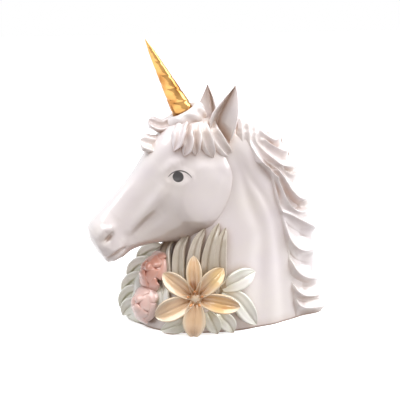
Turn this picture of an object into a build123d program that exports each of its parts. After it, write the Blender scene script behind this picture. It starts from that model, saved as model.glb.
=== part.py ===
from build123d import *
import math
import os

# A glazed ceramic bust of a unicorn: head and neck on an oval foot, mane behind, flowers at the chest.
# Frame: millimetres, +Z up, the nose points to -X and the horse's left side to -Y.
# The origin is the middle of the foot, on the surface that the figurine stands on.

# Neck casting: hollow, with a floor and a small vent hole
NECK_LENGTH = 104.0
NECK_WIDTH = 62.0
NECK_HEIGHT = 118.0
NECK_WALL = 4.0
FOOT_FLOOR = 4.5
VENT_BORE = 3.5
VENT_PLACE_SHARE = 0.2

# Each row: height, front, back and half width, as shares of the neck's own sizes
NECK_ROW_SHARES = [
    (0.00, -0.457, 0.558, 0.500),
    (0.17, -0.410, 0.558, 0.468),
    (0.38, -0.284, 0.540, 0.403),
    (0.59, -0.110, 0.500, 0.339),
    (0.76, -0.053, 0.420, 0.282),
    (0.915, -0.082, 0.295, 0.218),
    (1.00, -0.048, 0.160, 0.130),
]
NECK_EGG_SHARE = 0.1
RING_POINTS = 12

# Head casting: hollow, luted to the top of the neck
HEAD_LENGTH = 98.0
HEAD_DEPTH = 66.0
HEAD_WIDTH = 38.0
HEAD_PITCH = 28.0
HEAD_WALL = 4.0
HEAD_FORWARD_SHARE = 0.087
HEAD_HEIGHT_SHARE = 0.847

# Each row: distance to the nose, underside, top and half width, as shares of the head's own sizes
HEAD_ROW_SHARES = [
    (0.00, -0.12, 0.33, 0.27),
    (0.08, -0.24, 0.46, 0.37),
    (0.20, -0.41, 0.52, 0.46),
    (0.33, -0.485, 0.49, 0.50),
    (0.46, -0.455, 0.40, 0.47),
    (0.59, -0.38, 0.30, 0.37),
    (0.71, -0.31, 0.235, 0.30),
    (0.82, -0.285, 0.18, 0.30),
    (0.90, -0.295, 0.14, 0.32),
    (0.96, -0.27, 0.10, 0.27),
    (0.995, -0.16, 0.03, 0.15),
]
HEAD_ROUNDNESS_SHARE = 0.8
HEAD_RING_POINTS = 24

# Rings between the rows, where the face has relief
HEAD_FACE_RING_SHARES = [0.27, 0.40, 0.525, 0.65, 0.765, 0.86]

# Relief on both sides of the face. Each soft swell or dent: distance to the nose as a share of the
# head's length, rise and radius as shares of its depth, and lift as a share of its width.
FACE_RELIEF_SHARES = [
    (0.28, -0.144, 0.29, 0.050),
    (0.40, 0.245, 0.08, 0.040),
    (0.395, 0.147, 0.10, -0.030),
    (0.50, 0.100, 0.08, 0.035),
    (0.60, 0.035, 0.08, 0.042),
    (0.71, -0.025, 0.08, 0.036),
    (0.61, -0.085, 0.07, -0.036),
    (0.71, -0.125, 0.07, -0.040),
    (0.93, -0.070, 0.06, 0.030),
]
RELIEF_EDGE_POWER = 4
FLANK_POWER = 2

# Horn: a spiral cone on a tenon
HORN_LENGTH = 45.0
HORN_BASE_WIDTH = 12.4
HORN_TIP_WIDTH = 1.6
HORN_TURNS = 5
HORN_STEPS_PER_TURN = 8
HORN_TWIST_SHARE = 0.06
HORN_TENON_WIDTH = 7.0
HORN_TENON_LENGTH = 7.0
HORN_FIT = 0.1
HORN_PLACE_SHARE = 0.15
MOUND_LENGTH = 24.0
MOUND_WIDTH = 21.0
MOUND_HEIGHT = 5.0

# The mound's rings: rise from its top as a share of its height, and fullness
MOUND_ROW_SHARES = [(-2.2, 1.0), (-1, 1.0), (-0.5, 0.88), (0, 0.66)]

# Ears
EAR_WIDTH = 15.0
EAR_DEPTH = 5.0
EAR_FORWARD_SHARE = 0.45

# Each ear: distance towards the nose, to its own side and up, as shares of the head's own sizes.
# The right ear is pricked forwards a little more than the left.
EAR_LEFT_SHARES = [(0.055, 0.22, 0.15), (0.0, 0.30, 0.30), (-0.065, 0.33, 0.41), (-0.172, 0.31, 0.552)]
EAR_RIGHT_SHARES = [(0.05, 0.22, 0.14), (0.01, 0.30, 0.30), (-0.03, 0.32, 0.43), (-0.085, 0.31, 0.597)]

# Locks of hair
MANE_LEFT_WIDTH = 15.0
MANE_LEFT_DEPTH = 4.0
MANE_RIGHT_WIDTH = 18.0
MANE_RIGHT_DEPTH = 5.0
MANE_CREST_WIDTH = 17.0
MANE_CREST_DEPTH = 5.0
FRINGE_WIDTH = 9.0
FRINGE_DEPTH = 2.6
FORELOCK_WIDTH = 10.0
FORELOCK_DEPTH = 3.4
LANE_SHARE = 0.45
LANE_SAMPLES = 24
STRAND_RINGS = 7

# The film of slip that joins two pieces
LUTE_GAP = 0.15

# Leaves
LEAF_WIDTH = 9.0
LEAF_DEPTH = 1.6

# Lily
LILY_RADIUS = 24.0
LILY_PETAL_WIDTH = 16.0
LILY_PETAL_DEPTH = 3.0
LILY_STANDOFF = 5.5
LILY_CENTRE_WIDTH = 7.0
LILY_STAMEN_WIDTH = 1.3
LILY_STAMEN_LENGTH = 9.0
LILY_STAMENS = 5
LILY_STAMEN_ANGLE = 20
LILY_STAMEN_LEAN_SHARE = 0.55
LILY_STAMEN_RING_SHARE = 0.2
LILY_STAMEN_TIP_SHARE = 0.67

# Roses: sizes, and the turn of the first outer petal, for the upper and the lower flower
ROSE_UPPER_WIDTH = 19.0
ROSE_UPPER_HEIGHT = 24.0
ROSE_UPPER_ANGLE = 20
ROSE_LOWER_WIDTH = 18.0
ROSE_LOWER_HEIGHT = 21.0
ROSE_LOWER_ANGLE = 50
ROSE_DEPTH = 9.0
ROSE_PETAL_DEPTH = 1.8
ROSE_PETALS = 5
TINY = 0.01

# Cross-sections, as shares of half the width and of the depth
LOCK_SECTION_SHARES = [
    (-1, 0), (-0.7, 0.7), (-0.35, 1), (0.1, 0.55),
    (0.6, 0.3), (1, 0), (0.5, -0.6), (-0.5, -0.6),
]
LEAF_SECTION_SHARES = [
    (-1, 0), (-0.5, 0.8), (0, 0.45), (0.5, 0.8),
    (1, 0), (0.5, -0.4), (0, -0.6), (-0.5, -0.4),
]
CUP_SECTION_SHARES = [
    (-1, 1), (-0.5, 0.35), (0, 0.15), (0.5, 0.35),
    (1, 1), (0.6, -0.15), (0, -0.45), (-0.6, -0.15),
]

# Where a strand starts and ends on a half wave of width: nearly full at the root, thin at the tip
LOCK_TAPER_SHARES = (0.3, 0.95)
LEAF_TAPER_SHARES = (0.2, 0.95)
PETAL_TAPER_SHARES = (0.1, 0.93)
RUFFLE_TAPER_SHARES = (0.22, 0.8)
EAR_TAPER_SHARES = (0.34, 0.96)

# Locks and leaves lie on the neck. Each point: height share, turn from the front in degrees
# towards the horse's left, and stand-off as a share of the neck's length.
MANE_LEFT_SHARES = [
    [(0.98, 118, 0.0), (0.93, 104, 0.01), (0.88, 94, 0.01), (0.83, 91, 0.0)],
    [(0.98, 132, 0.0), (0.92, 112, 0.015), (0.86, 99, 0.015), (0.79, 98, 0.0)],
    [(0.95, 138, 0.0), (0.87, 118, 0.02), (0.79, 117, 0.02), (0.70, 120, 0.02), (0.61, 115, 0.0)],
    [(0.95, 154, 0.0), (0.88, 139, 0.02), (0.81, 134, 0.02), (0.75, 138, 0.02), (0.70, 150, 0.01)],
    [(0.98, 160, 0.0), (0.93, 168, 0.03), (0.90, 168, 0.04), (0.93, 167, 0.085)],
    [(0.88, 154, 0.0), (0.845, 160, 0.02), (0.825, 166, 0.04), (0.84, 164, 0.085)],
    [(0.82, 149, 0.0), (0.795, 154, 0.015), (0.775, 159, 0.03), (0.765, 164, 0.05)],
    [(0.77, 149, 0.0), (0.74, 153, 0.02), (0.712, 160, 0.04), (0.72, 165, 0.065)],
    [(0.74, 130, 0.0), (0.69, 137, 0.02), (0.645, 152, 0.03), (0.60, 163, 0.045), (0.61, 164, 0.09)],
    [(0.675, 134, 0.0), (0.61, 134, 0.02), (0.55, 141, 0.02), (0.50, 157, 0.04), (0.46, 163, 0.085)],
    [(0.585, 124, 0.0), (0.53, 128, 0.02), (0.48, 144, 0.02), (0.43, 160, 0.04), (0.41, 164, 0.075)],
    [(0.52, 123, 0.0), (0.46, 128, 0.02), (0.40, 145, 0.02), (0.36, 160, 0.04), (0.33, 165, 0.065)],
    [(0.44, 126, 0.0), (0.38, 131, 0.02), (0.31, 148, 0.02), (0.27, 160, 0.04), (0.24, 166, 0.08)],
    [(0.37, 128, 0.0), (0.31, 134, 0.02), (0.23, 145, 0.02), (0.18, 159, 0.04), (0.16, 165, 0.065)],
    [(0.26, 132, 0.0), (0.18, 137, 0.02), (0.11, 150, 0.02), (0.085, 160, 0.04), (0.08, 164, 0.09)],
    [(0.14, 136, 0.0), (0.08, 144, 0.02), (0.05, 155, 0.04), (0.04, 163, 0.125)],
]
MANE_RIGHT_SHARES = [
    [(0.98, -122, 0.0), (0.91, -106, 0.015), (0.84, -101, 0.015), (0.76, -106, 0.0)],
    [(0.95, -148, 0.0), (0.88, -138, 0.02), (0.80, -132, 0.02), (0.73, -137, 0.02), (0.67, -152, 0.02)],
    [(0.89, -156, 0.0), (0.84, -161, 0.02), (0.80, -166, 0.04), (0.815, -165, 0.08)],
    [(0.70, -124, 0.0), (0.65, -134, 0.02), (0.60, -148, 0.02), (0.565, -160, 0.04), (0.56, -165, 0.075)],
    [(0.62, -124, 0.0), (0.55, -130, 0.02), (0.48, -144, 0.02), (0.43, -158, 0.04), (0.42, -164, 0.075)],
    [(0.49, -126, 0.0), (0.42, -131, 0.02), (0.35, -145, 0.02), (0.30, -158, 0.04), (0.28, -165, 0.085)],
    [(0.36, -128, 0.0), (0.29, -134, 0.02), (0.22, -146, 0.02), (0.17, -159, 0.04), (0.15, -165, 0.075)],
    [(0.22, -132, 0.0), (0.15, -139, 0.02), (0.09, -150, 0.02), (0.06, -160, 0.04), (0.05, -164, 0.095)],
]
MANE_CREST_SHARES = [
    [(0.99, 180, 0.0), (0.91, 182, 0.02), (0.82, 180, 0.03), (0.74, 178, 0.05)],
    [(0.78, 180, 0.0), (0.70, 178, 0.02), (0.61, 180, 0.03), (0.53, 182, 0.06)],
    [(0.58, 180, 0.0), (0.49, 182, 0.02), (0.39, 180, 0.03), (0.31, 178, 0.07)],
    [(0.36, 180, 0.0), (0.25, 178, 0.02), (0.14, 180, 0.04), (0.06, 180, 0.09)],
]

# The fringe and the forelock lie on the head. Each point: distance share to the nose,
# turn from the top in degrees towards the horse's left, and stand-off as a share of the head's length.
FRINGE_LEFT_SHARES = [
    [(0.20, 20, 0.005), (0.25, 30, 0.015), (0.29, 42, 0.015), (0.32, 54, 0.0)],
    [(0.17, 30, 0.005), (0.21, 43, 0.015), (0.24, 54, 0.015), (0.265, 63, 0.0)],
    [(0.13, 36, 0.005), (0.16, 52, 0.015), (0.18, 64, 0.015), (0.19, 77, 0.0)],
    [(0.10, 42, 0.005), (0.12, 58, 0.015), (0.135, 70, 0.015), (0.14, 84, 0.0)],
    [(0.06, 46, 0.005), (0.075, 66, 0.015), (0.075, 82, 0.015), (0.06, 97, 0.0)],
]
FRINGE_RIGHT_SHARES = [
    [(0.19, -22, 0.005), (0.23, -34, 0.015), (0.27, -48, 0.015), (0.30, -60, 0.0)],
    [(0.14, -34, 0.005), (0.17, -50, 0.015), (0.19, -64, 0.015), (0.20, -78, 0.0)],
    [(0.08, -44, 0.005), (0.10, -62, 0.015), (0.11, -78, 0.015), (0.10, -92, 0.0)],
]
FORELOCK_SHARES = [
    [(0.20, -4, 0.01), (0.25, -8, 0.03), (0.30, -14, 0.06), (0.335, -20, 0.09)],
    [(0.21, 24, 0.01), (0.29, 18, 0.04), (0.37, 6, 0.05), (0.43, -6, 0.085)],
]

THROAT_LEAF_SHARES = [
    [(0.46, 12, 0.0), (0.42, 16, 0.03), (0.37, 22, 0.03), (0.33, 28, 0.01)],
    [(0.50, 30, 0.0), (0.45, 34, 0.035), (0.40, 37, 0.035), (0.36, 38, 0.01)],
    [(0.52, 46, 0.0), (0.46, 50, 0.035), (0.41, 54, 0.035), (0.37, 58, 0.01)],
    [(0.53, 62, 0.0), (0.45, 66, 0.035), (0.38, 71, 0.035), (0.31, 76, 0.01)],
]
SIDE_LEAF_SHARES = [
    [(0.27, 80, 0.0), (0.31, 85, 0.03), (0.33, 91, 0.045), (0.32, 98, 0.03)],
    [(0.20, 83, 0.0), (0.17, 89, 0.035), (0.11, 95, 0.04), (0.04, 101, 0.02)],
]
LOW_LEAF_SHARES = [
    [(0.13, 76, 0.0), (0.09, 78, 0.02), (0.05, 80, 0.035), (0.02, 82, 0.04)],
]
FRONT_LEAF_SHARES = [
    [(0.38, -8, 0.0), (0.36, -15, 0.05), (0.33, -20, 0.075), (0.27, -23, 0.075)],
    [(0.22, -22, 0.0), (0.22, -22, 0.06), (0.195, -22, 0.11), (0.14, -22, 0.115)],
    [(0.12, -20, 0.0), (0.11, -19, 0.06), (0.07, -18, 0.11), (0.02, -17, 0.13)],
]
FRONT_LEAF_FACE_SHARES = (-0.5, -0.85, 0.1)
FAR_LEAF_SHARES = [
    [(0.32, -34, 0.0), (0.30, -44, 0.04), (0.25, -54, 0.04), (0.18, -62, 0.02)],
    [(0.14, -34, 0.0), (0.12, -44, 0.045), (0.085, -53, 0.045), (0.04, -62, 0.02)],
]

# Flower places on the neck: height share and turn in degrees
LILY_PLACE_SHARES = (0.18, 60)
ROSE_UPPER_PLACE_SHARES = (0.28, 8)
ROSE_LOWER_PLACE_SHARES = (0.115, 16)

# A rose: rise of its heart's rings with their fullness, and the line of an outer petal
ROSE_HEART_SHARES = [(-0.8, 0.5), (-0.2, 0.6), (0.2, 0.62), (0.45, 0.5), (0.6, 0.25)]
ROSE_PETAL_SHARES = [(0.4, -0.4), (0.65, -0.2), (0.85, -0.06), (1.05, 0.0)]
ROSE_RUFFLES = 5
ROSE_RUFFLE_POINTS = 6
ROSE_RUFFLE_SHARE = 0.12

# Lily petals: direction in degrees from the horse's tail side, counter-clockwise, and length share
LILY_PETAL_SHARES = [(95, 1.0), (50, 0.98), (-8, 0.88), (-96, 0.86), (200, 1.0), (138, 0.96)]

# The throat: rise as shares of the stand-off, and fullness
LILY_THROAT_SHARES = [(-1.5, 2.2), (-0.7, 1.6), (0.0, 0.9), (0.4, 0.45)]

# A petal's line: distance from the middle and rise, as shares of the petal's length
LILY_RISE_SHARES = [(0.1, -0.1), (0.3, 0.04), (0.65, 0.12), (1.0, 0.0)]


def blend_rows(rows, share):
    """Values of a table at a share between its rows."""
    for lower, upper in zip(rows, rows[1:]):
        if share <= upper[0]:
            part = (share - lower[0]) / (upper[0] - lower[0])
            return [a + (b - a) * part for a, b in zip(lower[1:], upper[1:])]
    return list(rows[-1][1:])


def row_slopes(rows, index):
    """How fast the values of a table change at one of its rows."""
    lower = rows[max(index - 1, 0)]
    upper = rows[min(index + 1, len(rows) - 1)]
    return [(b - a) / (upper[0] - lower[0]) for a, b in zip(lower[1:], upper[1:])]


def curve_rows(rows, share):
    """Values of a table at a share, on a smooth curve through its rows."""
    index = 0
    while index < len(rows) - 2 and share > rows[index + 1][0]:
        index += 1
    lower, upper = rows[index], rows[index + 1]
    span = upper[0] - lower[0]
    part = min(max((share - lower[0]) / span, 0), 1)
    ease = part * part * (3 - 2 * part)
    start = (part - 1) ** 2 * part * span
    end = (part - 1) * part ** 2 * span
    slopes = zip(row_slopes(rows, index), row_slopes(rows, index + 1))
    pairs = zip(lower[1:], upper[1:], slopes)
    return [a + (b - a) * ease + slope_a * start + slope_b * end for a, b, (slope_a, slope_b) in pairs]


def face_relief(along_share, rise):
    """How far the side of the face stands out, from its soft swells and dents."""
    lift = 0
    for place_share, rise_share, radius_share, lift_share in FACE_RELIEF_SHARES:
        along = (along_share - place_share) * HEAD_LENGTH
        distance = math.hypot(along, rise - rise_share * HEAD_DEPTH) / (radius_share * HEAD_DEPTH)
        lift += lift_share * HEAD_WIDTH * math.exp(-distance ** RELIEF_EDGE_POWER)
    return lift


def round_power(value):
    """A cosine or sine pushed outwards, for a section that is squarer than an ellipse."""
    return math.copysign(abs(value) ** HEAD_ROUNDNESS_SHARE, value)


def neck_point(height_share, turn, inset=0.0):
    """A point of the neck's skin, moved inwards by a wall if one is given."""
    front, back, half = blend_rows(NECK_ROW_SHARES, height_share)
    reach = (back - front) / 2 * NECK_LENGTH - inset
    middle = (back + front) / 2 * NECK_LENGTH
    spread = half * NECK_WIDTH - inset
    angle = math.radians(turn)
    x = middle - reach * math.cos(angle)
    y = -spread * math.sin(angle) * (1 + NECK_EGG_SHARE * math.cos(angle))
    return Vector(x, y, height_share * NECK_HEIGHT)


def head_place(along, side, rise):
    """A point from distances along the face, to the horse's left and up from the head's axis."""
    pitch = math.radians(HEAD_PITCH)
    x = HEAD_FORWARD_SHARE * NECK_LENGTH - along * math.cos(pitch) - rise * math.sin(pitch)
    z = HEAD_HEIGHT_SHARE * NECK_HEIGHT - along * math.sin(pitch) + rise * math.cos(pitch)
    return Vector(x, -side, z)


def head_point(along_share, turn, inset=0.0):
    """A point of the head's skin, moved inwards by a wall if one is given."""
    under, top, half = curve_rows(HEAD_ROW_SHARES, along_share)
    reach = (top - under) / 2 * HEAD_DEPTH - inset
    middle = (top + under) / 2 * HEAD_DEPTH
    spread = half * HEAD_WIDTH - inset
    angle = math.radians(turn)
    rise = middle + reach * round_power(math.cos(angle))
    fullness = round_power(math.sin(angle))
    lift = face_relief(along_share, rise) * abs(fullness) ** FLANK_POWER
    side = spread * fullness + math.copysign(lift, fullness)
    return head_place(along_share * HEAD_LENGTH, side, rise)


def skin_normal(surface, share, turn):
    """The outward direction of the neck or the head at one place."""
    up_step = surface(share + TINY, turn) - surface(share - TINY, turn)
    turn_step = surface(share, turn + 1) - surface(share, turn - 1)
    normal = up_step.cross(turn_step).normalized()
    centre = (surface(share, turn) + surface(share, turn + 180)) / 2
    if normal.dot(surface(share, turn) - centre) < 0:
        normal = -normal
    return normal


def ring(points):
    """A closed smooth wire."""
    return Wire([Edge.make_spline(points, periodic=True)])


def edged_ring(section_shares, centre, across, lift):
    """A closed section with two thin side edges: its upper line and its lower line."""
    points = [centre + across * u + lift * v for u, v in section_shares]
    corner = [u for u, v in section_shares].index(1)
    upper = Edge.make_spline(points[:corner + 1])
    lower = Edge.make_spline(points[corner:] + points[:1])
    return Wire([upper, lower])


def surface_rings(surface, shares, inset=0.0, count=RING_POINTS):
    """Rings round the neck or the head at several places along it."""
    turns = [360 / count * step for step in range(count)]
    return [ring([surface(share, turn, inset) for turn in turns]) for share in shares]


def blend_vectors(vectors, share):
    """A direction at a share of the way through a list of directions."""
    place = share * (len(vectors) - 1)
    index = min(int(place), len(vectors) - 2)
    part = place - index
    return (vectors[index] * (1 - part) + vectors[index + 1] * part).normalized()


def lane_room(place, rivals):
    """Half the way from a point to the nearest other centre line."""
    nearest = min([(place - point).length for line in rivals for point in line], default=HEAD_LENGTH)
    return nearest * LANE_SHARE


def strand(points, faces, width, depth, section_shares, taper_shares, rivals=()):
    """A tapered strip along a curve: a lock, a leaf, a petal or an ear.

    With rivals, the centre lines of its neighbours, it stays in its own lane between them.
    """
    curve = Edge.make_spline(points)
    root_share, tip_share = taper_shares
    rings = []
    for step in range(STRAND_RINGS):
        share = step / (STRAND_RINGS - 1)
        centre = curve.position_at(share)
        along = curve.tangent_at(share)
        across = along.cross(blend_vectors(faces, share)).normalized()
        lift = across.cross(along).normalized()
        taper = math.sin(math.pi * (root_share + (tip_share - root_share) * share))
        fullness = min(taper, lane_room(centre, rivals) / (width / 2))
        half = width / 2 * fullness
        rise = depth * math.sqrt(taper * fullness)
        rings.append(edged_ring(section_shares, centre, across * half, lift * rise))
    return Solid.make_loft(rings)


def laid_line(surface, size, rows, face=None):
    """The points and outward directions of a strand that lies on the neck or the head."""
    points = []
    faces = []
    for share, turn, standoff_share in rows:
        normal = skin_normal(surface, share, turn)
        points.append(surface(share, turn) + normal * (standoff_share * size))
        faces.append(face or normal)
    return points, faces


def samples(points):
    """Points along the smooth line through a few points."""
    curve = Edge.make_spline(points)
    return [curve.position_at(step / LANE_SAMPLES) for step in range(LANE_SAMPLES + 1)]


def strand_set(lines, width, depth, section_shares, taper_shares, others=()):
    """Strands side by side, each in its own lane."""
    centre_lines = [samples(points) for points, faces in lines]
    pieces = []
    for index, (points, faces) in enumerate(lines):
        rivals = centre_lines[:index] + centre_lines[index + 1:] + list(others)
        pieces.append(strand(points, faces, width, depth, section_shares, taper_shares, rivals))
    return pieces


def lock_sets(tables, surface, size):
    """Names and solids of all the locks on the neck or the head, each clear of all the others."""
    lines = {
        name: [laid_line(surface, size, rows) for rows in table]
        for name, table, width, depth in tables
    }
    for name, table, width, depth in tables:
        others = [samples(points) for key in lines if key != name for points, faces in lines[key]]
        names = [f"{name}_{index + 1}" for index in range(len(table))]
        yield names, strand_set(lines[name], width, depth, LOCK_SECTION_SHARES, LOCK_TAPER_SHARES, others)


def boxes_meet(first, second):
    """Whether the boxes round two solids meet."""
    a = first.bounding_box()
    b = second.bounding_box()
    apart_x = a.min.X > b.max.X or b.min.X > a.max.X
    apart_y = a.min.Y > b.max.Y or b.min.Y > a.max.Y
    apart_z = a.min.Z > b.max.Z or b.min.Z > a.max.Z
    return not (apart_x or apart_y or apart_z)


def largest(shape):
    """The largest solid of a cut."""
    return shape.solids().sort_by(SortBy.VOLUME)[-1]


def seat(piece, neighbours):
    """Trim a piece where it enters what it is luted to, so that they meet face to face."""
    tools = [neighbour for neighbour in neighbours if boxes_meet(piece, neighbour)]
    if not tools:
        return piece
    return largest(piece.cut(*tools))


def ground():
    """The space below the surface that the figurine stands on."""
    size = NECK_LENGTH + HEAD_LENGTH
    return Pos(-size, -size, -size) * Solid.make_box(2 * size, 2 * size, size)


def make_neck():
    """The form that other pieces seat on, a film of slip outside the skin, and the hollow casting."""
    shares = [row[0] for row in NECK_ROW_SHARES]
    outside = Solid.make_loft(surface_rings(neck_point, shares))
    seat_form = Solid.make_loft(surface_rings(neck_point, shares, -LUTE_GAP))
    floor_share = FOOT_FLOOR / NECK_HEIGHT
    roof_share = 1 - NECK_WALL / NECK_HEIGHT
    inner_shares = [floor_share] + shares[1:-1] + [roof_share]
    inside = Solid.make_loft(surface_rings(neck_point, inner_shares, NECK_WALL))
    vent = Solid.make_cylinder(VENT_BORE / 2, FOOT_FLOOR * 2)
    vent = Pos(VENT_PLACE_SHARE * NECK_LENGTH, 0, -FOOT_FLOOR / 2) * vent
    return seat_form, largest(outside - inside - vent)


def make_head():
    """The seat form, the outside, and the cavity, which opens at the neck."""
    row_shares = [row[0] for row in HEAD_ROW_SHARES]
    shares = sorted(row_shares + HEAD_FACE_RING_SHARES)
    outside = Solid.make_loft(surface_rings(head_point, shares, 0, HEAD_RING_POINTS))
    seat_form = Solid.make_loft(surface_rings(head_point, shares, -LUTE_GAP, HEAD_RING_POINTS))
    inside = Solid.make_loft(surface_rings(head_point, row_shares[1:-1], HEAD_WALL))
    return seat_form, outside, inside


def horn_frame():
    """The horn's foot and its axis, square to the head's top line."""
    top_share = curve_rows(HEAD_ROW_SHARES, HORN_PLACE_SHARE)[1]
    rise = top_share * HEAD_DEPTH + MOUND_HEIGHT
    foot = head_place(HORN_PLACE_SHARE * HEAD_LENGTH, 0, rise)
    axis = head_place(0, 0, 1) - head_place(0, 0, 0)
    forward = head_place(1, 0, 0) - head_place(0, 0, 0)
    return foot, axis, forward


def make_horn():
    """A cone that winds round its own axis, with a tenon below."""
    foot, axis, forward = horn_frame()
    steps = HORN_TURNS * HORN_STEPS_PER_TURN
    rings = []
    sideways = axis.cross(forward)
    for step in range(steps + 1):
        share = step / steps
        radius = (HORN_BASE_WIDTH + (HORN_TIP_WIDTH - HORN_BASE_WIDTH) * share) / 2
        angle = math.radians(360 * step / HORN_STEPS_PER_TURN)
        swing = (forward * math.cos(angle) + sideways * math.sin(angle)) * (radius * HORN_TWIST_SHARE)
        middle = foot + axis * (share * HORN_LENGTH) + swing
        rings.append(Wire.make_circle(radius, Plane(origin=middle, x_dir=forward, z_dir=axis)))
    shaft = Solid.make_loft(rings)
    tenon_plane = Plane(origin=foot, x_dir=forward, z_dir=-axis)
    tenon = Solid.make_cylinder(HORN_TENON_WIDTH / 2, HORN_TENON_LENGTH, tenon_plane)
    return largest(shaft + tenon)


def make_socket():
    """The hole that takes the horn's tenon."""
    foot, axis, forward = horn_frame()
    plane = Plane(origin=foot + axis * HORN_FIT, x_dir=forward, z_dir=-axis)
    return Solid.make_cylinder(HORN_TENON_WIDTH / 2 + HORN_FIT, HORN_TENON_LENGTH + HORN_FIT * 2, plane)


def make_mound(gap=0.0):
    """The hair that rings the horn's foot, made larger by a gap if one is given."""
    foot, axis, forward = horn_frame()
    rings = []
    for rise_share, fullness_share in MOUND_ROW_SHARES:
        plane = Plane(origin=foot + axis * (rise_share * MOUND_HEIGHT), x_dir=forward, z_dir=axis)
        length = MOUND_LENGTH / 2 * fullness_share + gap
        width = MOUND_WIDTH / 2 * fullness_share + gap
        rings.append(Wire.make_ellipse(length, width, plane))
    return Solid.make_loft(rings)


def make_ear(place_shares, side):
    """A cupped ear that opens outwards and forwards: side 1 for the left, -1 for the right."""
    points = []
    for along_share, side_share, rise_share in place_shares:
        place = (along_share * HEAD_LENGTH, side * side_share * HEAD_WIDTH, rise_share * HEAD_DEPTH)
        points.append(head_place(*place))
    face = Vector(-EAR_FORWARD_SHARE, -side, 0).normalized()
    return strand(points, [face, face], EAR_WIDTH, EAR_DEPTH, CUP_SECTION_SHARES, EAR_TAPER_SHARES)


def flower_frame(place_shares, standoff):
    """The middle of a flower, its outward axis, its level axis and its upright axis."""
    height_share, turn = place_shares
    axis = skin_normal(neck_point, height_share, turn)
    middle = neck_point(height_share, turn) + axis * standoff
    level = Vector(0, 0, 1).cross(axis).normalized()
    upright = axis.cross(level).normalized()
    return middle, axis, level, upright


def lily_petal_line(direction, length_share):
    """The line of one petal, which rises from the middle and bends back at its tip."""
    middle, axis, level, upright = flower_frame(LILY_PLACE_SHARES, LILY_STANDOFF)
    angle = math.radians(direction)
    out = level * math.cos(angle) + upright * math.sin(angle)
    reach = LILY_RADIUS * length_share
    places = [middle + out * (reach * along) + axis * (reach * rise) for along, rise in LILY_RISE_SHARES]
    return places, [axis, axis]


def make_lily_centre(gap=0.0):
    """The flower's throat, down to the neck, made larger by a gap if one is given."""
    middle, axis, level, upright = flower_frame(LILY_PLACE_SHARES, LILY_STANDOFF)
    rings = []
    for rise_share, radius_share in LILY_THROAT_SHARES:
        plane = Plane(origin=middle + axis * (rise_share * LILY_STANDOFF), x_dir=level, z_dir=axis)
        rings.append(Wire.make_circle(LILY_CENTRE_WIDTH / 2 * radius_share + gap, plane))
    return Solid.make_loft(rings)


def make_lily_stamens(throat):
    """Thin stamens that fan out of the throat."""
    middle, axis, level, upright = flower_frame(LILY_PLACE_SHARES, LILY_STANDOFF)
    stamens = []
    for step in range(LILY_STAMENS):
        angle = math.radians(360 / LILY_STAMENS * step + LILY_STAMEN_ANGLE)
        lean = level * math.cos(angle) + upright * math.sin(angle)
        direction = (axis + lean * LILY_STAMEN_LEAN_SHARE).normalized()
        foot = middle + lean * (LILY_CENTRE_WIDTH * LILY_STAMEN_RING_SHARE)
        plane = Plane(origin=foot, x_dir=direction.cross(axis).normalized(), z_dir=direction)
        radius = LILY_STAMEN_WIDTH / 2
        tip_radius = radius * LILY_STAMEN_TIP_SHARE
        stalk = Solid.make_cone(radius, tip_radius, LILY_STAMEN_LENGTH, plane)
        stamens.append(seat(stalk, [throat]))
    return stamens


def make_rose_heart(place_shares, width, height, gap=0.0):
    """The ruffled heart of a rose, down to the chest, made larger by a gap if one is given."""
    middle, axis, level, upright = flower_frame(place_shares, ROSE_DEPTH / 2)
    count = ROSE_RUFFLES * ROSE_RUFFLE_POINTS
    rings = []
    for rise_share, radius_share in ROSE_HEART_SHARES:
        origin = middle + axis * (rise_share * ROSE_DEPTH)
        points = []
        for step in range(count):
            turn = 2 * math.pi * step / count
            swell = radius_share * (1 + ROSE_RUFFLE_SHARE * math.cos(ROSE_RUFFLES * turn))
            across = level * ((width / 2 * swell + gap) * math.cos(turn))
            along = upright * ((height / 2 * swell + gap) * math.sin(turn))
            points.append(origin + across + along)
        rings.append(ring(points))
    return Solid.make_loft(rings)


def rose_petal_lines(place_shares, width, height, start_angle):
    """The lines of the outer petals."""
    middle, axis, level, upright = flower_frame(place_shares, ROSE_DEPTH / 2)
    lines = []
    for step in range(ROSE_PETALS):
        angle = math.radians(360 / ROSE_PETALS * step + start_angle)
        out = level * (width / 2 * math.cos(angle)) + upright * (height / 2 * math.sin(angle))
        points = []
        for along_share, rise_share in ROSE_PETAL_SHARES:
            points.append(middle + out * along_share + axis * (ROSE_DEPTH * rise_share))
        lines.append((points, [axis, axis]))
    return lines


def export(name, solids):
    """Write one node."""
    shape = solids[0] if len(solids) == 1 else Compound(solids)
    export_step(shape, f"parts/{name}.step")
    print(name, len(solids), round(sum(solid.volume for solid in solids)))


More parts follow.
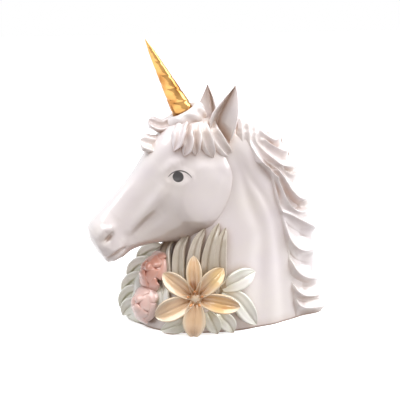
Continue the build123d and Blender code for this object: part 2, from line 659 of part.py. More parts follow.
def main():
    os.makedirs("parts", exist_ok=True)
    neck_seat, neck = make_neck()
    head_seat, head_outside, head_cavity = make_head()
    socket = make_socket()
    head = largest(head_outside.cut(neck_seat, head_cavity, socket))
    export("neck_casting", [neck])
    export("head_casting", [head])
    export("horn", [make_horn()])
    export("forelock_mound", [largest(make_mound().cut(neck_seat, head_seat, socket))])
    body = [ground(), neck_seat, head_seat, make_mound(LUTE_GAP)]

    def add(names, pieces, neighbours=()):
        seated = [seat(piece, body + list(neighbours)) for piece in pieces]
        if isinstance(names, str):
            export(names, seated)
            return
        for name, solid in zip(names, seated):
            export(name, [solid])

    ears = [make_ear(EAR_LEFT_SHARES, 1), make_ear(EAR_RIGHT_SHARES, -1)]
    add(["ear_left", "ear_right"], ears)

    head_tables = [
        ("forelock", FORELOCK_SHARES, FORELOCK_WIDTH, FORELOCK_DEPTH),
        ("fringe_left", FRINGE_LEFT_SHARES, FRINGE_WIDTH, FRINGE_DEPTH),
        ("fringe_right", FRINGE_RIGHT_SHARES, FRINGE_WIDTH, FRINGE_DEPTH),
    ]
    for names, locks in lock_sets(head_tables, head_point, HEAD_LENGTH):
        add(names, locks, ears)

    mane_tables = [
        ("mane_left", MANE_LEFT_SHARES, MANE_LEFT_WIDTH, MANE_LEFT_DEPTH),
        ("mane_right", MANE_RIGHT_SHARES, MANE_RIGHT_WIDTH, MANE_RIGHT_DEPTH),
        ("mane_crest", MANE_CREST_SHARES, MANE_CREST_WIDTH, MANE_CREST_DEPTH),
    ]
    for names, locks in lock_sets(mane_tables, neck_point, NECK_LENGTH):
        add(names, locks, ears)

    throat_seat = make_lily_centre(LUTE_GAP)
    petal_lines = [lily_petal_line(*row) for row in LILY_PETAL_SHARES]
    petal_form = (LILY_PETAL_WIDTH, LILY_PETAL_DEPTH, CUP_SECTION_SHARES, PETAL_TAPER_SHARES)
    petals = strand_set(petal_lines, *petal_form)
    add("lily_centre", [make_lily_centre()])
    add("lily_stamens", make_lily_stamens(throat_seat))
    add("lily_petals", petals, [throat_seat])
    flowers = [throat_seat] + petals
    roses = [
        ("rose_upper", ROSE_UPPER_PLACE_SHARES, ROSE_UPPER_WIDTH, ROSE_UPPER_HEIGHT, ROSE_UPPER_ANGLE),
        ("rose_lower", ROSE_LOWER_PLACE_SHARES, ROSE_LOWER_WIDTH, ROSE_LOWER_HEIGHT, ROSE_LOWER_ANGLE),
    ]
    for name, place_shares, width, height, start_angle in roses:
        heart_seat = make_rose_heart(place_shares, width, height, LUTE_GAP)
        petal_lines = rose_petal_lines(place_shares, width, height, start_angle)
        petal_width = (width + height) / 2
        form = (petal_width, ROSE_PETAL_DEPTH, CUP_SECTION_SHARES, RUFFLE_TAPER_SHARES)
        petals = strand_set(petal_lines, *form)
        add(f"{name}_heart", [make_rose_heart(place_shares, width, height)], flowers)
        add(f"{name}_petals", petals, flowers + [heart_seat])
        flowers = flowers + [heart_seat] + petals
    leaf_tables = [
        ("leaf_side", SIDE_LEAF_SHARES, None),
        ("leaf_low", LOW_LEAF_SHARES, None),
        ("leaf_front", FRONT_LEAF_SHARES, Vector(*FRONT_LEAF_FACE_SHARES)),
        ("leaf_far", FAR_LEAF_SHARES, None),
        ("leaf_throat", THROAT_LEAF_SHARES, None),
    ]
    for name, table, face in leaf_tables:
        lines = [laid_line(neck_point, NECK_LENGTH, rows, face) for rows in table]
        leaves = strand_set(lines, LEAF_WIDTH, LEAF_DEPTH, LEAF_SECTION_SHARES, LEAF_TAPER_SHARES)
        add(name, leaves)


main()
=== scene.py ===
# %% [markdown]
# A glazed ceramic unicorn bust, dressed for its picture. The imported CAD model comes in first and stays
# still: each piece made here takes the place of one CAD node, and sits where that node sits.

# %% The frame
import bmesh
import bpy
import numpy as np
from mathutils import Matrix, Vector


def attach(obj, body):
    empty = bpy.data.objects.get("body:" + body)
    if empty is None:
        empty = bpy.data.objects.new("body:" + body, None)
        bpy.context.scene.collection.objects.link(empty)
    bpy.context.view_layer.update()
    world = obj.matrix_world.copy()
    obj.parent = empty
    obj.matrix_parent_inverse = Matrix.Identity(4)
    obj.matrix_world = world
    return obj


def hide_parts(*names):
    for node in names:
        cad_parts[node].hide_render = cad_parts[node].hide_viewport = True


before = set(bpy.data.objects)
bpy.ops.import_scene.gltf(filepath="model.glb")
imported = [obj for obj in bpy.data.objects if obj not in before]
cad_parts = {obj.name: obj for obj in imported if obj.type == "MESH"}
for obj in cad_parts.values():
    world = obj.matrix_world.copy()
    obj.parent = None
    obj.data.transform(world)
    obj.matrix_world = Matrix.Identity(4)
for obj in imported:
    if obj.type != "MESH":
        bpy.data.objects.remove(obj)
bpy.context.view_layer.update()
print("CAD nodes", len(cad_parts))

# %% [markdown]
# The camera comes before the pieces, because every later look at the model goes through it. A long lens
# from a little above keeps the head from looking swollen.

# %% Camera
MM = 0.001
CAMERA_TARGET = Vector((-10.5, 0, 72)) * MM
CAMERA_DISTANCE = 620 * MM
CAMERA_DIRECTION = Vector((-0.302, -0.930, 0.208)).normalized()
CAMERA_LENS = 94.57
CAMERA_SENSOR = 36
camera_data = bpy.data.cameras.new("camera")
camera_data.lens = CAMERA_LENS
camera_data.sensor_width = CAMERA_SENSOR
camera = bpy.data.objects.new("camera", camera_data)
camera.location = CAMERA_TARGET + CAMERA_DIRECTION * CAMERA_DISTANCE
camera.rotation_euler = (CAMERA_TARGET - camera.location).to_track_quat("-Z", "Y").to_euler()
bpy.context.scene.collection.objects.link(camera)
bpy.context.scene.camera = camera
print("camera at", [round(value, 3) for value in camera.location])

# %% [markdown]
# A cast figurine is one soft skin, so its forms are written as tables: each row is a place along the
# neck or the head, and how far the skin stands out there. A smooth curve runs through the rows.


# %% Smooth tables
def smooth_rows(rows, shares):
    """The columns of a table, blended by a smooth curve through its rows."""
    table = np.array(rows, float)
    knots = table[:, 0]
    values = table[:, 1:]
    slopes = np.gradient(values, knots, axis=0)
    index = np.clip(np.searchsorted(knots, shares, side="right") - 1, 0, len(knots) - 2)
    span = (knots[index + 1] - knots[index])[:, None]
    part = np.clip((shares - knots[index])[:, None] / span, 0, 1)
    bend_in = (part - 1) ** 2 * part * span * slopes[index]
    bend_out = (part - 1) * part ** 2 * span * slopes[index + 1]
    ease = part * part * (3 - 2 * part)
    return values[index] * (1 - ease) + values[index + 1] * ease + bend_in + bend_out


def soft_step(low, high, value):
    """0 below low, 1 above high, and an eased rise between."""
    part = np.clip((value - low) / (high - low), 0, 1)
    return part * part * (3 - 2 * part)


def unit(vectors):
    """The same directions with a length of 1."""
    return vectors / np.maximum(np.linalg.norm(vectors, axis=-1, keepdims=True), 1e-9)


def oval_at(rows, shares, length, width):
    """The middle, half length and half width of an oval section, in millimetres, at shares of a table."""
    low, high, half = smooth_rows(rows, shares).T
    return (high + low) / 2 * length, (high - low) / 2 * length, half * width


def oval_gap(first, second, oval):
    """A rough distance from an oval, negative inside it."""
    middle, reach, half = oval
    return (np.hypot((first - middle) / reach, second / half) - 1) * np.minimum(reach, half)


print("midway between 0 and 1:", soft_step(0, 1, 0.5))

# %% [markdown]
# Every form here starts as one grid of faces from bmesh. Its points are moved on to the form, its edges
# that meet are merged, and the open ends are filled, which gives a closed skin of neat squares. Each point
# keeps its two shares of the grid, which the paint uses later.


# %% Grid to form
WELD = 2e-6
SHARE_NAMES = ("share_around", "share_along")


def finish_mesh(name, bm):
    """A new piece from a bmesh: merged, closed, facing outwards, riding on the body."""
    bmesh.ops.remove_doubles(bm, verts=bm.verts, dist=WELD)
    open_edges = [edge for edge in bm.edges if edge.is_boundary]
    if open_edges:
        bmesh.ops.holes_fill(bm, edges=open_edges, sides=0)
    caps = [face for face in bm.faces if len(face.verts) > 4]
    bmesh.ops.triangulate(bm, faces=caps)
    bmesh.ops.recalc_face_normals(bm, faces=bm.faces)
    for face in bm.faces:
        face.smooth = True
    mesh = bpy.data.meshes.new(name)
    bm.to_mesh(mesh)
    bm.free()
    piece = bpy.data.objects.new(name, mesh)
    bpy.context.scene.collection.objects.link(piece)
    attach(piece, "root")
    return piece


def add_grid(bm, counts, place):
    """One grid in a bmesh, whose points are placed by two shares from 0 to 1."""
    layers = [bm.verts.layers.float.get(name) or bm.verts.layers.float.new(name) for name in SHARE_NAMES]
    made = bmesh.ops.create_grid(bm, x_segments=counts[0], y_segments=counts[1], size=0.5)["verts"]
    flat = np.array([vert.co[:] for vert in made])[:, :2] + 0.5
    spots = place(flat[:, 0], flat[:, 1]) * MM
    spots[:, 2] = np.maximum(spots[:, 2], 0)
    for vert, spot, shares in zip(made, spots, flat):
        vert.co = spot
        for layer, share in zip(layers, shares):
            vert[layer] = share


def grid_piece(name, slot_name, counts, *places):
    """A piece of one or more closed grids, with the same counts around and along."""
    bm = bmesh.new()
    for place in places:
        add_grid(bm, counts, place)
    return finish_mesh(name, bm)


pieces = {}
print("grids are", WELD, "m tight")

# %% [markdown]
# The neck is an oval column that leans back, hollow in the real piece. Two soft muscle folds run down
# its side from behind the jaw. The plain sizes are those of the CAD model, and the folds are added here.

# %% Neck form
NECK_LENGTH = 104
NECK_WIDTH = 62
NECK_HEIGHT = 118
NECK_EGG = 0.1
NECK_ROWS = [
    (0.00, -0.457, 0.558, 0.500), (0.17, -0.410, 0.558, 0.468), (0.38, -0.284, 0.540, 0.403),
    (0.59, -0.110, 0.500, 0.339), (0.76, -0.053, 0.420, 0.282), (0.915, -0.082, 0.295, 0.218),
    (1.00, -0.048, 0.160, 0.130),
]
# Each fold: its turns from the front at shares of the height, half width in degrees, and share of the depth
FOLDS = [
    ([(0.0, 102), (0.19, 101), (0.33, 99), (0.48, 94), (0.58, 81), (0.68, 71), (0.80, 66), (1.0, 60)],
     8, 1.0),
    ([(0.0, 124), (0.11, 121), (0.27, 118), (0.47, 110), (0.63, 95), (0.73, 80), (1.0, 74)], 6, 0.75),
]
FOLD_DEPTH = 1.5


def neck_raw(height, turn):
    """Points of the neck's oval skin, at height shares and turns from the front in degrees."""
    middle, reach, half = oval_at(NECK_ROWS, height, NECK_LENGTH, NECK_WIDTH)
    angle = np.radians(turn)
    x = middle - reach * np.cos(angle)
    y = -half * np.sin(angle) * (1 + NECK_EGG * np.cos(angle))
    return np.stack([x, y, height * NECK_HEIGHT], axis=-1)


NORMAL_STEP = 0.004


def skin_normals(surface, along, turn):
    """The outward directions of a skin."""
    up_step = surface(along + NORMAL_STEP, turn) - surface(along - NORMAL_STEP, turn)
    turn_step = surface(along, turn + 1) - surface(along, turn - 1)
    normals = unit(np.cross(up_step, turn_step))
    middle = (surface(along, turn) + surface(along, turn + 180)) / 2
    flip = np.sign(np.sum(normals * (surface(along, turn) - middle), axis=-1, keepdims=True))
    return normals * flip


def neck_skin(height, turn):
    """The neck's skin with its muscle folds."""
    side = np.abs((turn + 180) % 360 - 180)
    depth = 0
    for table, width, share in FOLDS:
        centre = smooth_rows(table, height)[:, 0]
        fade = soft_step(0.9, 0.7, height) * (0.55 + 0.45 * soft_step(0, 0.3, height))
        depth = depth + share * fade * np.exp(-((side - centre) / width) ** 2)
    return neck_raw(height, turn) - skin_normals(neck_raw, height, turn) * (FOLD_DEPTH * depth)[:, None]


print("neck at mid height", neck_skin(np.array([0.5]), np.array([90.0])).round(1))

# %% [markdown]
# The head is a wedge seen from the side: a straight face line, a deep round jaw, a narrow bridge and a
# blunt muzzle. It hangs at 28 degrees from the top of the neck, and has its own axes: along the face to
# the nose, out to the horse's left, and up from the face.

# %% Head form
HEAD_LENGTH = 98
HEAD_DEPTH = 66
HEAD_WIDTH = 38
HEAD_PITCH = np.radians(28)
HEAD_ORIGIN = np.array([0.087 * NECK_LENGTH, 0, 0.847 * NECK_HEIGHT])
ALONG_AXIS = np.array([-np.cos(HEAD_PITCH), 0, -np.sin(HEAD_PITCH)])
SIDE_AXIS = np.array([0, -1, 0])
RISE_AXIS = np.array([-np.sin(HEAD_PITCH), 0, np.cos(HEAD_PITCH)])
HEAD_ROUNDNESS = 0.8
HEAD_ROWS = [
    (0.00, -0.12, 0.33, 0.27), (0.08, -0.24, 0.46, 0.37), (0.20, -0.41, 0.52, 0.46),
    (0.33, -0.485, 0.49, 0.50), (0.46, -0.475, 0.40, 0.47), (0.59, -0.405, 0.30, 0.37),
    (0.71, -0.325, 0.235, 0.30), (0.82, -0.285, 0.18, 0.29), (0.90, -0.295, 0.14, 0.31),
    (0.96, -0.28, 0.10, 0.27), (0.985, -0.25, 0.07, 0.22), (1.0, -0.16, 0.02, 0.12),
]


def head_frame(points):
    """Along, side and rise of points in the head's own axes, in millimetres."""
    offset = points - HEAD_ORIGIN
    return offset @ ALONG_AXIS, offset @ SIDE_AXIS, offset @ RISE_AXIS


def head_spots(along, side, rise):
    """Points from the head's own axes."""
    axes = (ALONG_AXIS, SIDE_AXIS, RISE_AXIS)
    moves = [np.multiply.outer(reach, axis) for reach, axis in zip((along, side, rise), axes)]
    return HEAD_ORIGIN + moves[0] + moves[1] + moves[2]


def pushed(value):
    """A cosine or sine pushed outwards, which makes an oval squarer."""
    return np.sign(value) * np.abs(value) ** HEAD_ROUNDNESS


def head_raw(along, turn):
    """Points of the head's plain skin, at shares along the face and turns from the top in degrees."""
    middle, reach, half = oval_at(HEAD_ROWS, along, HEAD_DEPTH, HEAD_WIDTH)
    angle = np.radians(turn)
    rise = middle + reach * pushed(np.cos(angle))
    side = half * pushed(np.sin(angle))
    return head_spots(along * HEAD_LENGTH, side, rise)


print("nose at", head_raw(np.array([1.0]), np.array([90.0])).round(1))

# %% [markdown]
# The face is sculpted by small moves along the skin's own directions, as a modeller pushes clay: a round
# cheek plate, a bony line under the eye, eye sockets with lids, open nostrils and the line of the mouth.
# Each move is a soft dent or ridge round a point or along a line, written in the head's own axes.


# %% Face sculpting
def curve_distance(x, y, curve):
    """Distances to a line, the share of the way along it, and whether each place is above it."""
    curve = np.array(curve, float)
    best = np.full(x.shape, 1e3)
    where = np.zeros(x.shape)
    above = np.zeros(x.shape, bool)
    for index, (start, end) in enumerate(zip(curve, curve[1:])):
        step = end - start
        part = np.clip(((x - start[0]) * step[0] + (y - start[1]) * step[1]) / (step @ step), 0, 1)
        off_x, off_y = x - start[0] - part * step[0], y - start[1] - part * step[1]
        gap = np.hypot(off_x, off_y)
        nearer = gap < best
        best = np.where(nearer, gap, best)
        where = np.where(nearer, (index + part) / (len(curve) - 1), where)
        above = np.where(nearer, step[0] * off_y - step[1] * off_x > 0, above)
    return best, where, above


# Each ridge or dent: line in the head's axes, half width and lift
FACE_LINES = [
    ([(33, 16.0), (38, 17.5), (43.5, 16.0)], 2.8, 1.1),
    ([(44, 8.5), (40, 4.6), (34, 4.2)], 2.4, 0.5),
    ([(47, 8.5), (53.6, 4.2), (64, -0.5), (76, -4.5)], 3.2, 1.5),
    ([(57, -4.5), (66, -6.5), (76, -9.5)], 3.4, -1.5),
    ([(30, 22), (44, 19.5), (60, 13.5), (80, 6.5)], 4.5, -0.9),
    ([(50, 12), (62, 7.5), (78, 2.0)], 3.5, -0.5),
    ([(24, 14), (17, 6), (14, -4)], 4.0, -0.7),
    ([(79, -15.5), (68, -18), (56, -23)], 3.0, 0.7),
    ([(93.2, 0.8), (89, 2.8), (84.5, 1.6)], 1.9, 1.3),
    ([(95, -4.5), (90.5, -8.5), (84, -7.5)], 2.6, 0.9),
    ([(92.0, -3.2), (89.4, -2.6), (86.4, -1.4)], 1.25, -2.8),
    ([(96.8, -13.6), (92, -12.7), (88, -12.3), (84.6, -12.9)], 0.8, -1.5),
    ([(96, -10.6), (90, -10.3), (85, -10.9)], 1.5, 0.7),
    ([(95.5, -16.4), (90.5, -15.6), (86, -15.4)], 1.7, 0.9),
    ([(94, -19.2), (88, -19.2)], 1.0, -0.5),
]
# The flat brow and underside, within this many millimetres of the middle, stay plain
FLANK_EDGES = (4, 9)
CHEEK_CENTRE = (27.5, -9.5)
CHEEK_RIM = (24.5, 15.5)
CHEEK_SWELL = 1.9
CHEEK_DISH = 1.3
CHEEK_DISH_RADIUS = 12
EYE_CENTRE = (38.7, 10.4)
EYE_LENGTHENED = 1.25
SOCKET_DEPTH = 1.1
SOCKET_WIDTH = 6.2
BALL_SWELL = 1.2
BALL_RIM = (5.4, 0.5)
LIDS = [
    ([(45.5, 12.2), (42.3, 15.6), (37.8, 15.8), (33.8, 12.4), (31.2, 6.2)], 1.4, 0.35),
    ([(45.0, 10.2), (42.5, 6.4), (38.5, 4.6), (35.0, 4.2), (32.2, 5.0)], 1.2, 0.25),
]


def face_lift(along, side, rise):
    """How far the skin moves outwards at each place, in millimetres."""
    flank = soft_step(*FLANK_EDGES, np.abs(side))
    lift = np.zeros(along.shape)
    for line, width, height in FACE_LINES:
        gap, where, _ = curve_distance(along, rise, line)
        fade = 0.35 + 0.65 * np.sin(np.pi * np.clip(where, 0.02, 0.98)) ** 0.7
        lift += height * fade * np.exp(-(gap / width) ** 2)
    from_cheek = np.hypot(along - CHEEK_CENTRE[0], rise - CHEEK_CENTRE[1])
    lift += CHEEK_SWELL * soft_step(*CHEEK_RIM, from_cheek)
    lift -= CHEEK_DISH * np.exp(-(from_cheek / CHEEK_DISH_RADIUS) ** 2)
    from_eye = np.hypot((along - EYE_CENTRE[0]) / EYE_LENGTHENED, rise - EYE_CENTRE[1])
    lift -= SOCKET_DEPTH * np.exp(-((from_eye - 1.0) / SOCKET_WIDTH) ** 2)
    lift += BALL_SWELL * soft_step(*BALL_RIM, from_eye)
    for line, width, height in LIDS:
        lift += height * np.exp(-(curve_distance(along, rise, line)[0] / width) ** 2)
    return lift * flank


def neck_gap(points):
    """A rough distance from points to the neck's skin, negative inside."""
    height = np.clip(points[:, 2] / NECK_HEIGHT, 0, 1)
    gap = oval_gap(points[:, 0], points[:, 1], oval_at(NECK_ROWS, height, NECK_LENGTH, NECK_WIDTH))
    return np.where(points[:, 2] > NECK_HEIGHT, np.maximum(gap, points[:, 2] - NECK_HEIGHT), gap)


def head_gap(points):
    """A rough distance from points to the head's skin, negative inside."""
    along, side, rise = head_frame(points)
    share = np.clip(along / HEAD_LENGTH, 0.0, 1.0)
    return np.maximum(oval_gap(rise, side, oval_at(HEAD_ROWS, share, HEAD_DEPTH, HEAD_WIDTH)), -along)


FILLET = 5.0


def fillet(gap):
    """How far a skin swells where another skin is near, so that the two run together."""
    return np.clip(1 - np.abs(gap) / FILLET, 0, 1) ** 2 * FILLET / 4


def head_skin(along, turn):
    """The sculpted head."""
    points = head_raw(along, turn)
    normals = skin_normals(head_raw, np.clip(along, 0.005, 0.992), turn)
    lift = face_lift(*head_frame(points))
    lift = lift + fillet(neck_gap(points)) * soft_step(0.05, 0.2, along)
    return points + normals * lift[:, None]


print("cheek swells by", face_lift(np.array([27.5]), np.array([17.0]), np.array([5.0])).round(2), "mm")

# %% [markdown]
# Both castings become grids. The head needs small faces, since a nostril is only three millimetres wide,
# so its rows crowd together towards the nose.

# %% Neck and head pieces
HEAD_GRID = (220, 210)
NECK_GRID = (150, 110)
NOSE_CROWDING = 0.12


def place_neck(around, along):
    """The neck with its swell under the head."""
    points = neck_skin(along, around * 360)
    swell = fillet(head_gap(points)) * soft_step(1.0, 0.8, along)
    return points + skin_normals(neck_raw, along, around * 360) * swell[:, None]


def place_head(around, along):
    """The head, with its rows crowded towards the nose."""
    crowded = along + NOSE_CROWDING * np.sin(np.pi * along) * along
    return head_skin(np.clip(crowded, 0, 1), around * 360)


pieces["neck_casting"] = grid_piece("neck", "pearl_glaze", NECK_GRID, place_neck)
pieces["head_casting"] = grid_piece("head", "pearl_glaze", HEAD_GRID, place_head)
print("head faces", len(pieces["head_casting"].data.polygons))

# %% [markdown]
# Locks of hair, leaves, petals and ears are all strips along a curve: a section that swells and thins as
# it goes. A lock's section has a sharp bright ridge on one side and a scooped hollow beside it, which is
# what a modelling tool leaves when it is drawn through clay.


# %% Strips along a curve
def smooth_line(controls, shares):
    """Points of a smooth curve through control rows, spaced by their distances."""
    controls = np.array(controls, float)
    steps = np.linalg.norm(np.diff(controls[:, :3], axis=0), axis=1)
    knots = np.concatenate([[0], np.cumsum(steps)]) / steps.sum()
    return smooth_rows(np.column_stack([knots, controls]), shares)


LOCK_SECTION = [
    (0.00, -1.00, -0.30), (0.06, -0.98, 0.45), (0.12, -0.84, 0.98), (0.18, -0.66, 1.00),
    (0.27, -0.40, 0.42), (0.38, -0.08, 0.02), (0.46, 0.18, 0.06), (0.53, 0.40, 0.24),
    (0.60, 0.64, 0.10), (0.70, 1.00, -0.55), (0.82, 0.45, -1.20), (0.92, -0.55, -1.10),
    (1.00, -1.00, -0.30),
]
LOCK_TAPER = [
    (0.0, 0.8, 0.5), (0.2, 0.95, 0.9), (0.45, 1.0, 1.0), (0.7, 0.86, 1.0), (0.88, 0.5, 0.7),
    (1.0, 0.06, 0.12),
]
TANGENT_STEP = 0.01
RIPPLE_PACE = 17


def strip(controls, faces, width, depth, section, taper, mirror=1, ripple=0.0, front_rim=None):
    """A placing function for a grid: a closed section carried along a curve.

    A front rim table makes the side with negative offsets narrower than the other.
    """
    def place(around, along):
        centre = smooth_line(controls, along)
        ahead = smooth_line(controls, np.clip(along + TANGENT_STEP, 0, 1))
        behind = smooth_line(controls, np.clip(along - TANGENT_STEP, 0, 1))
        tangent = unit(ahead - behind)
        face = smooth_line(np.column_stack([controls, faces]), along)[:, 3:]
        across = unit(np.cross(tangent, face)) * mirror
        lift = unit(face - tangent * np.sum(face * tangent, axis=1, keepdims=True))
        offset, rise = smooth_rows(section, around).T
        wide, high = smooth_rows(taper, along).T
        wave = 1 + ripple * np.sin(along * RIPPLE_PACE + controls[0][2])
        if front_rim:
            share = smooth_rows(front_rim, along)[:, 0]
            wave = wave * np.where(offset * mirror < 0, share, 1)
        sideways = across * (offset * wide * width / 2 * wave)[:, None]
        return centre + sideways + lift * (rise * high * depth)[:, None]
    return place


def laid(surface, size, rows):
    """Control points and outward directions of a strip that lies on the neck or the head."""
    table = np.array(rows, float)
    normals = skin_normals(surface, table[:, 0], table[:, 1])
    points = surface(table[:, 0], table[:, 1]) + normals * (table[:, 2:3] * size)
    return points, normals


print("lock section has", len(LOCK_SECTION), "rows")

# %% [markdown]
# The mane is one carved mass on each side, from behind the ear to the foot. A modeller draws a tool
# through it, which leaves crisp ridges with scooped hollows between them. So each side is one grid over
# the back of the neck: ridges lift it, hollows press it in, and the tufts at its edge give the outline.
# Each ridge: height shares with turns from the front, rise at its start and end, and reach above and below.

# %% Mane tables
MANE_EDGE = [
    (0.0, 136), (0.2, 129), (0.35, 124), (0.48, 117), (0.62, 107), (0.76, 102), (0.82, 90), (0.88, 77),
    (0.94, 80), (1.0, 104),
]
DEGREE_MM = [(0.0, 0.72), (0.4, 0.60), (0.6, 0.50), (0.8, 0.38), (0.92, 0.27), (1.0, 0.20)]
RIDGES = [
    ([(1.0, 115), (0.95, 96), (0.88, 84)], 3.0, 2.4, 1.4, 1.4),
    ([(0.98, 123), (0.92, 102), (0.86, 97), (0.81, 99), (0.78, 104), (0.73, 112)], 3.4, 3.4, 1.7, 1.5),
    ([(0.73, 112), (0.67, 115), (0.62, 118), (0.57, 125), (0.54, 140), (0.54, 165)], 3.4, 5.5, 1.6, 2.4),
    ([(0.97, 140), (0.92, 114), (0.86, 113), (0.82, 116), (0.78, 124), (0.75, 152), (0.77, 167)],
     3.6, 7.0, 2.0, 1.5),
    ([(0.96, 147), (0.93, 133), (0.89, 139), (0.89, 160), (0.92, 171)], 3.6, 8.5, 1.8, 1.3),
    ([(0.90, 126), (0.87, 131), (0.83, 150), (0.84, 167)], 3.6, 7.0, 1.7, 1.4),
    ([(0.80, 120), (0.735, 134), (0.715, 158)], 3.0, 5.0, 1.6, 1.4),
    ([(0.78, 104), (0.73, 108), (0.67, 108), (0.61, 109), (0.56, 112)], 2.6, 1.8, 1.3, 1.3),
    ([(0.76, 116), (0.71, 122), (0.65, 129), (0.60, 141), (0.61, 166)], 4.4, 8.0, 4.5, 1.3),
    ([(0.56, 113), (0.54, 123), (0.50, 138), (0.43, 166)], 2.2, 6.5, 3.2, 1.5),
    ([(0.50, 114), (0.44, 121), (0.38, 129), (0.345, 140), (0.32, 166)], 2.6, 6.5, 3.6, 1.4),
    ([(0.37, 120), (0.30, 126), (0.24, 133), (0.20, 145), (0.17, 166)], 3.0, 6.5, 4.0, 1.4),
    ([(0.19, 127), (0.15, 132), (0.11, 143), (0.09, 165)], 3.0, 7.0, 3.0, 1.2),
    ([(0.10, 130), (0.05, 142), (0.03, 164)], 2.6, 8.0, 3.0, 2.0),
]
# Fine lines pressed between the ridges: the two ridges that each lies between, and how deep
FINE_LINES = [
    (8, 9, 0.5), (9, 10, 0.5), (10, 11, 0.6), (11, 12, 0.5), (12, 13, 0.4), (3, 6, 0.5), (4, 5, 0.4),
]
HOLLOWS = [
    ([(0.96, 90), (0.90, 82), (0.86, 78)], 2.8, 1.9),
    ([(0.96, 108), (0.88, 94), (0.80, 93)], 3.2, 1.9),
    ([(0.95, 121), (0.88, 112), (0.81, 110)], 3.0, 1.8),
    ([(0.76, 107), (0.68, 111), (0.60, 113)], 2.0, 1.2),
    ([(0.70, 121), (0.64, 127), (0.58, 137), (0.56, 152)], 3.2, 2.0),
    ([(0.50, 120), (0.44, 134), (0.39, 158)], 1.4, 1.7),
    ([(0.42, 118), (0.34, 125), (0.28, 138), (0.25, 160)], 2.0, 2.0),
    ([(0.27, 124), (0.20, 132), (0.15, 150), (0.13, 164)], 2.4, 2.2),
]
# How far the tufts stand out along the back of the neck, from the foot up
TUFTS = [
    (0.0, 10.2), (0.03, 11.0), (0.06, 9.4), (0.085, 8.8), (0.115, 9.4), (0.14, 8.4), (0.165, 6.9),
    (0.20, 6.4), (0.25, 6.6), (0.29, 6.3), (0.33, 6.9), (0.38, 6.3), (0.44, 7.0), (0.49, 6.2),
    (0.53, 5.4), (0.57, 6.6), (0.605, 8.6), (0.64, 7.4), (0.69, 4.4), (0.72, 4.6), (0.745, 5.4),
    (0.765, 7.8), (0.785, 5.8), (0.805, 5.2), (0.835, 7.0), (0.86, 5.6), (0.88, 6.6), (0.895, 7.6),
    (0.925, 6.2), (0.945, 4.0), (0.97, 2.6), (1.0, 2.0),
]
print("mane ridges", len(RIDGES))

# %% [markdown]
# To carve the mane, the back of the neck is unrolled to a plane. There each ridge is a line, and the skin
# falls away from it steeply above and below, so that neighbouring ridges meet in a sharp hollow.


# %% Mane carving
RIDGE_ROUND = 0.3
MANE_BED = 0.7
MANE_THINNEST = 0.25
FINE_WIDTH = 0.55
MANE_TOP = 0.95
MANE_OUTSIDE = 0.86


def flat_map(height, turn):
    """Places on the back of the neck unrolled to a plane, in millimetres from its middle line."""
    scale = smooth_rows(DEGREE_MM, np.clip(height, 0, 1))[:, 0]
    return (turn - 180) * scale, height * NECK_HEIGHT


def ridge_curve(rows, count=26):
    """A smooth line of points on the unrolled neck."""
    shares = np.linspace(0, 1, count)
    table = smooth_rows([(i / (len(rows) - 1), *row) for i, row in enumerate(rows)], shares)
    return np.stack(flat_map(table[:, 0], table[:, 1]), axis=-1)


def lowered(rows, lower):
    """The line of a ridge, set down by a share towards the back of the neck."""
    return ridge_curve([(height - lower * soft_step(110, 160, turn), turn) for height, turn in rows])


def mane_rise(height, turn, lower):
    """How far the mane stands out from the neck, in millimetres; a lower share sets its tufts down."""
    x, y = flat_map(height, turn)
    heap = np.zeros(x.shape)
    curves = [lowered(rows, lower) for rows, *_ in RIDGES]
    for curve, (_, start, end, over, under) in zip(curves, RIDGES):
        gap, where, above = curve_distance(x, y, curve)
        gap = np.hypot(gap, RIDGE_ROUND) - RIDGE_ROUND
        lift = start + (end - start) * where ** 1.6
        heap += (lift * np.exp(-gap / np.where(above, over, under))) ** 3
    rise = MANE_BED + heap ** (1 / 3)
    for first, second, depth in FINE_LINES:
        gap, where, _ = curve_distance(x, y, curves[first] * 0.55 + curves[second] * 0.45)
        rise -= depth * np.sin(np.pi * np.clip(where, 0, 1)) * np.exp(-(gap / FINE_WIDTH) ** 2)
    for rows, depth, width in HOLLOWS:
        gap, where, _ = curve_distance(x, y, lowered(rows, lower))
        rise -= depth * np.sin(np.pi * np.clip(where, 0.08, 0.92)) * np.exp(-(gap / width) ** 2)
    rise = np.maximum(rise, MANE_THINNEST)
    tuft = smooth_rows(TUFTS, np.clip(height + lower * 0.8, 0, 1))[:, 0]
    back = soft_step(142, 166, turn)
    return rise * (1 - back) + (tuft + 0.35 * (rise - 4)) * back


def mane_side(side, lower):
    """A placing function for one half of the mane: its outside, then its inside against the neck."""
    def place(around, along):
        height = np.clip(along / MANE_TOP, 0, 1)
        dome = np.clip((along - MANE_TOP) / (1 - MANE_TOP), 0, 1) * np.pi / 2
        edge = smooth_rows(MANE_EDGE, height)[:, 0]
        outer = np.clip(around / MANE_OUTSIDE, 0, 1)
        inner = np.clip((around - MANE_OUTSIDE) / (1 - MANE_OUTSIDE), 0, 1)
        turn = edge + (184 - edge) * (outer - inner)
        rise = mane_rise(height, turn, lower) * soft_step(0, 0.035, outer) * (1 - soft_step(0, 0.12, inner))
        rise = rise - 0.5 - 0.8 * soft_step(0, 0.12, inner)
        signed = turn * side
        normals = skin_normals(neck_raw, np.clip(height, 0.005, 0.995), signed)
        points = neck_raw(height, signed) + normals * rise[:, None]
        middle = neck_raw(np.array([1.0]), np.array([90.0]))[0] * np.array([1, 0, 1])
        inwards = np.stack([np.cos(dome), np.cos(dome), np.ones(len(dome))], axis=-1)
        points = middle + (points - middle) * inwards
        points[:, 2] = np.maximum(points[:, 2] + 2.0 * np.sin(dome), 0)
        return points
    return place


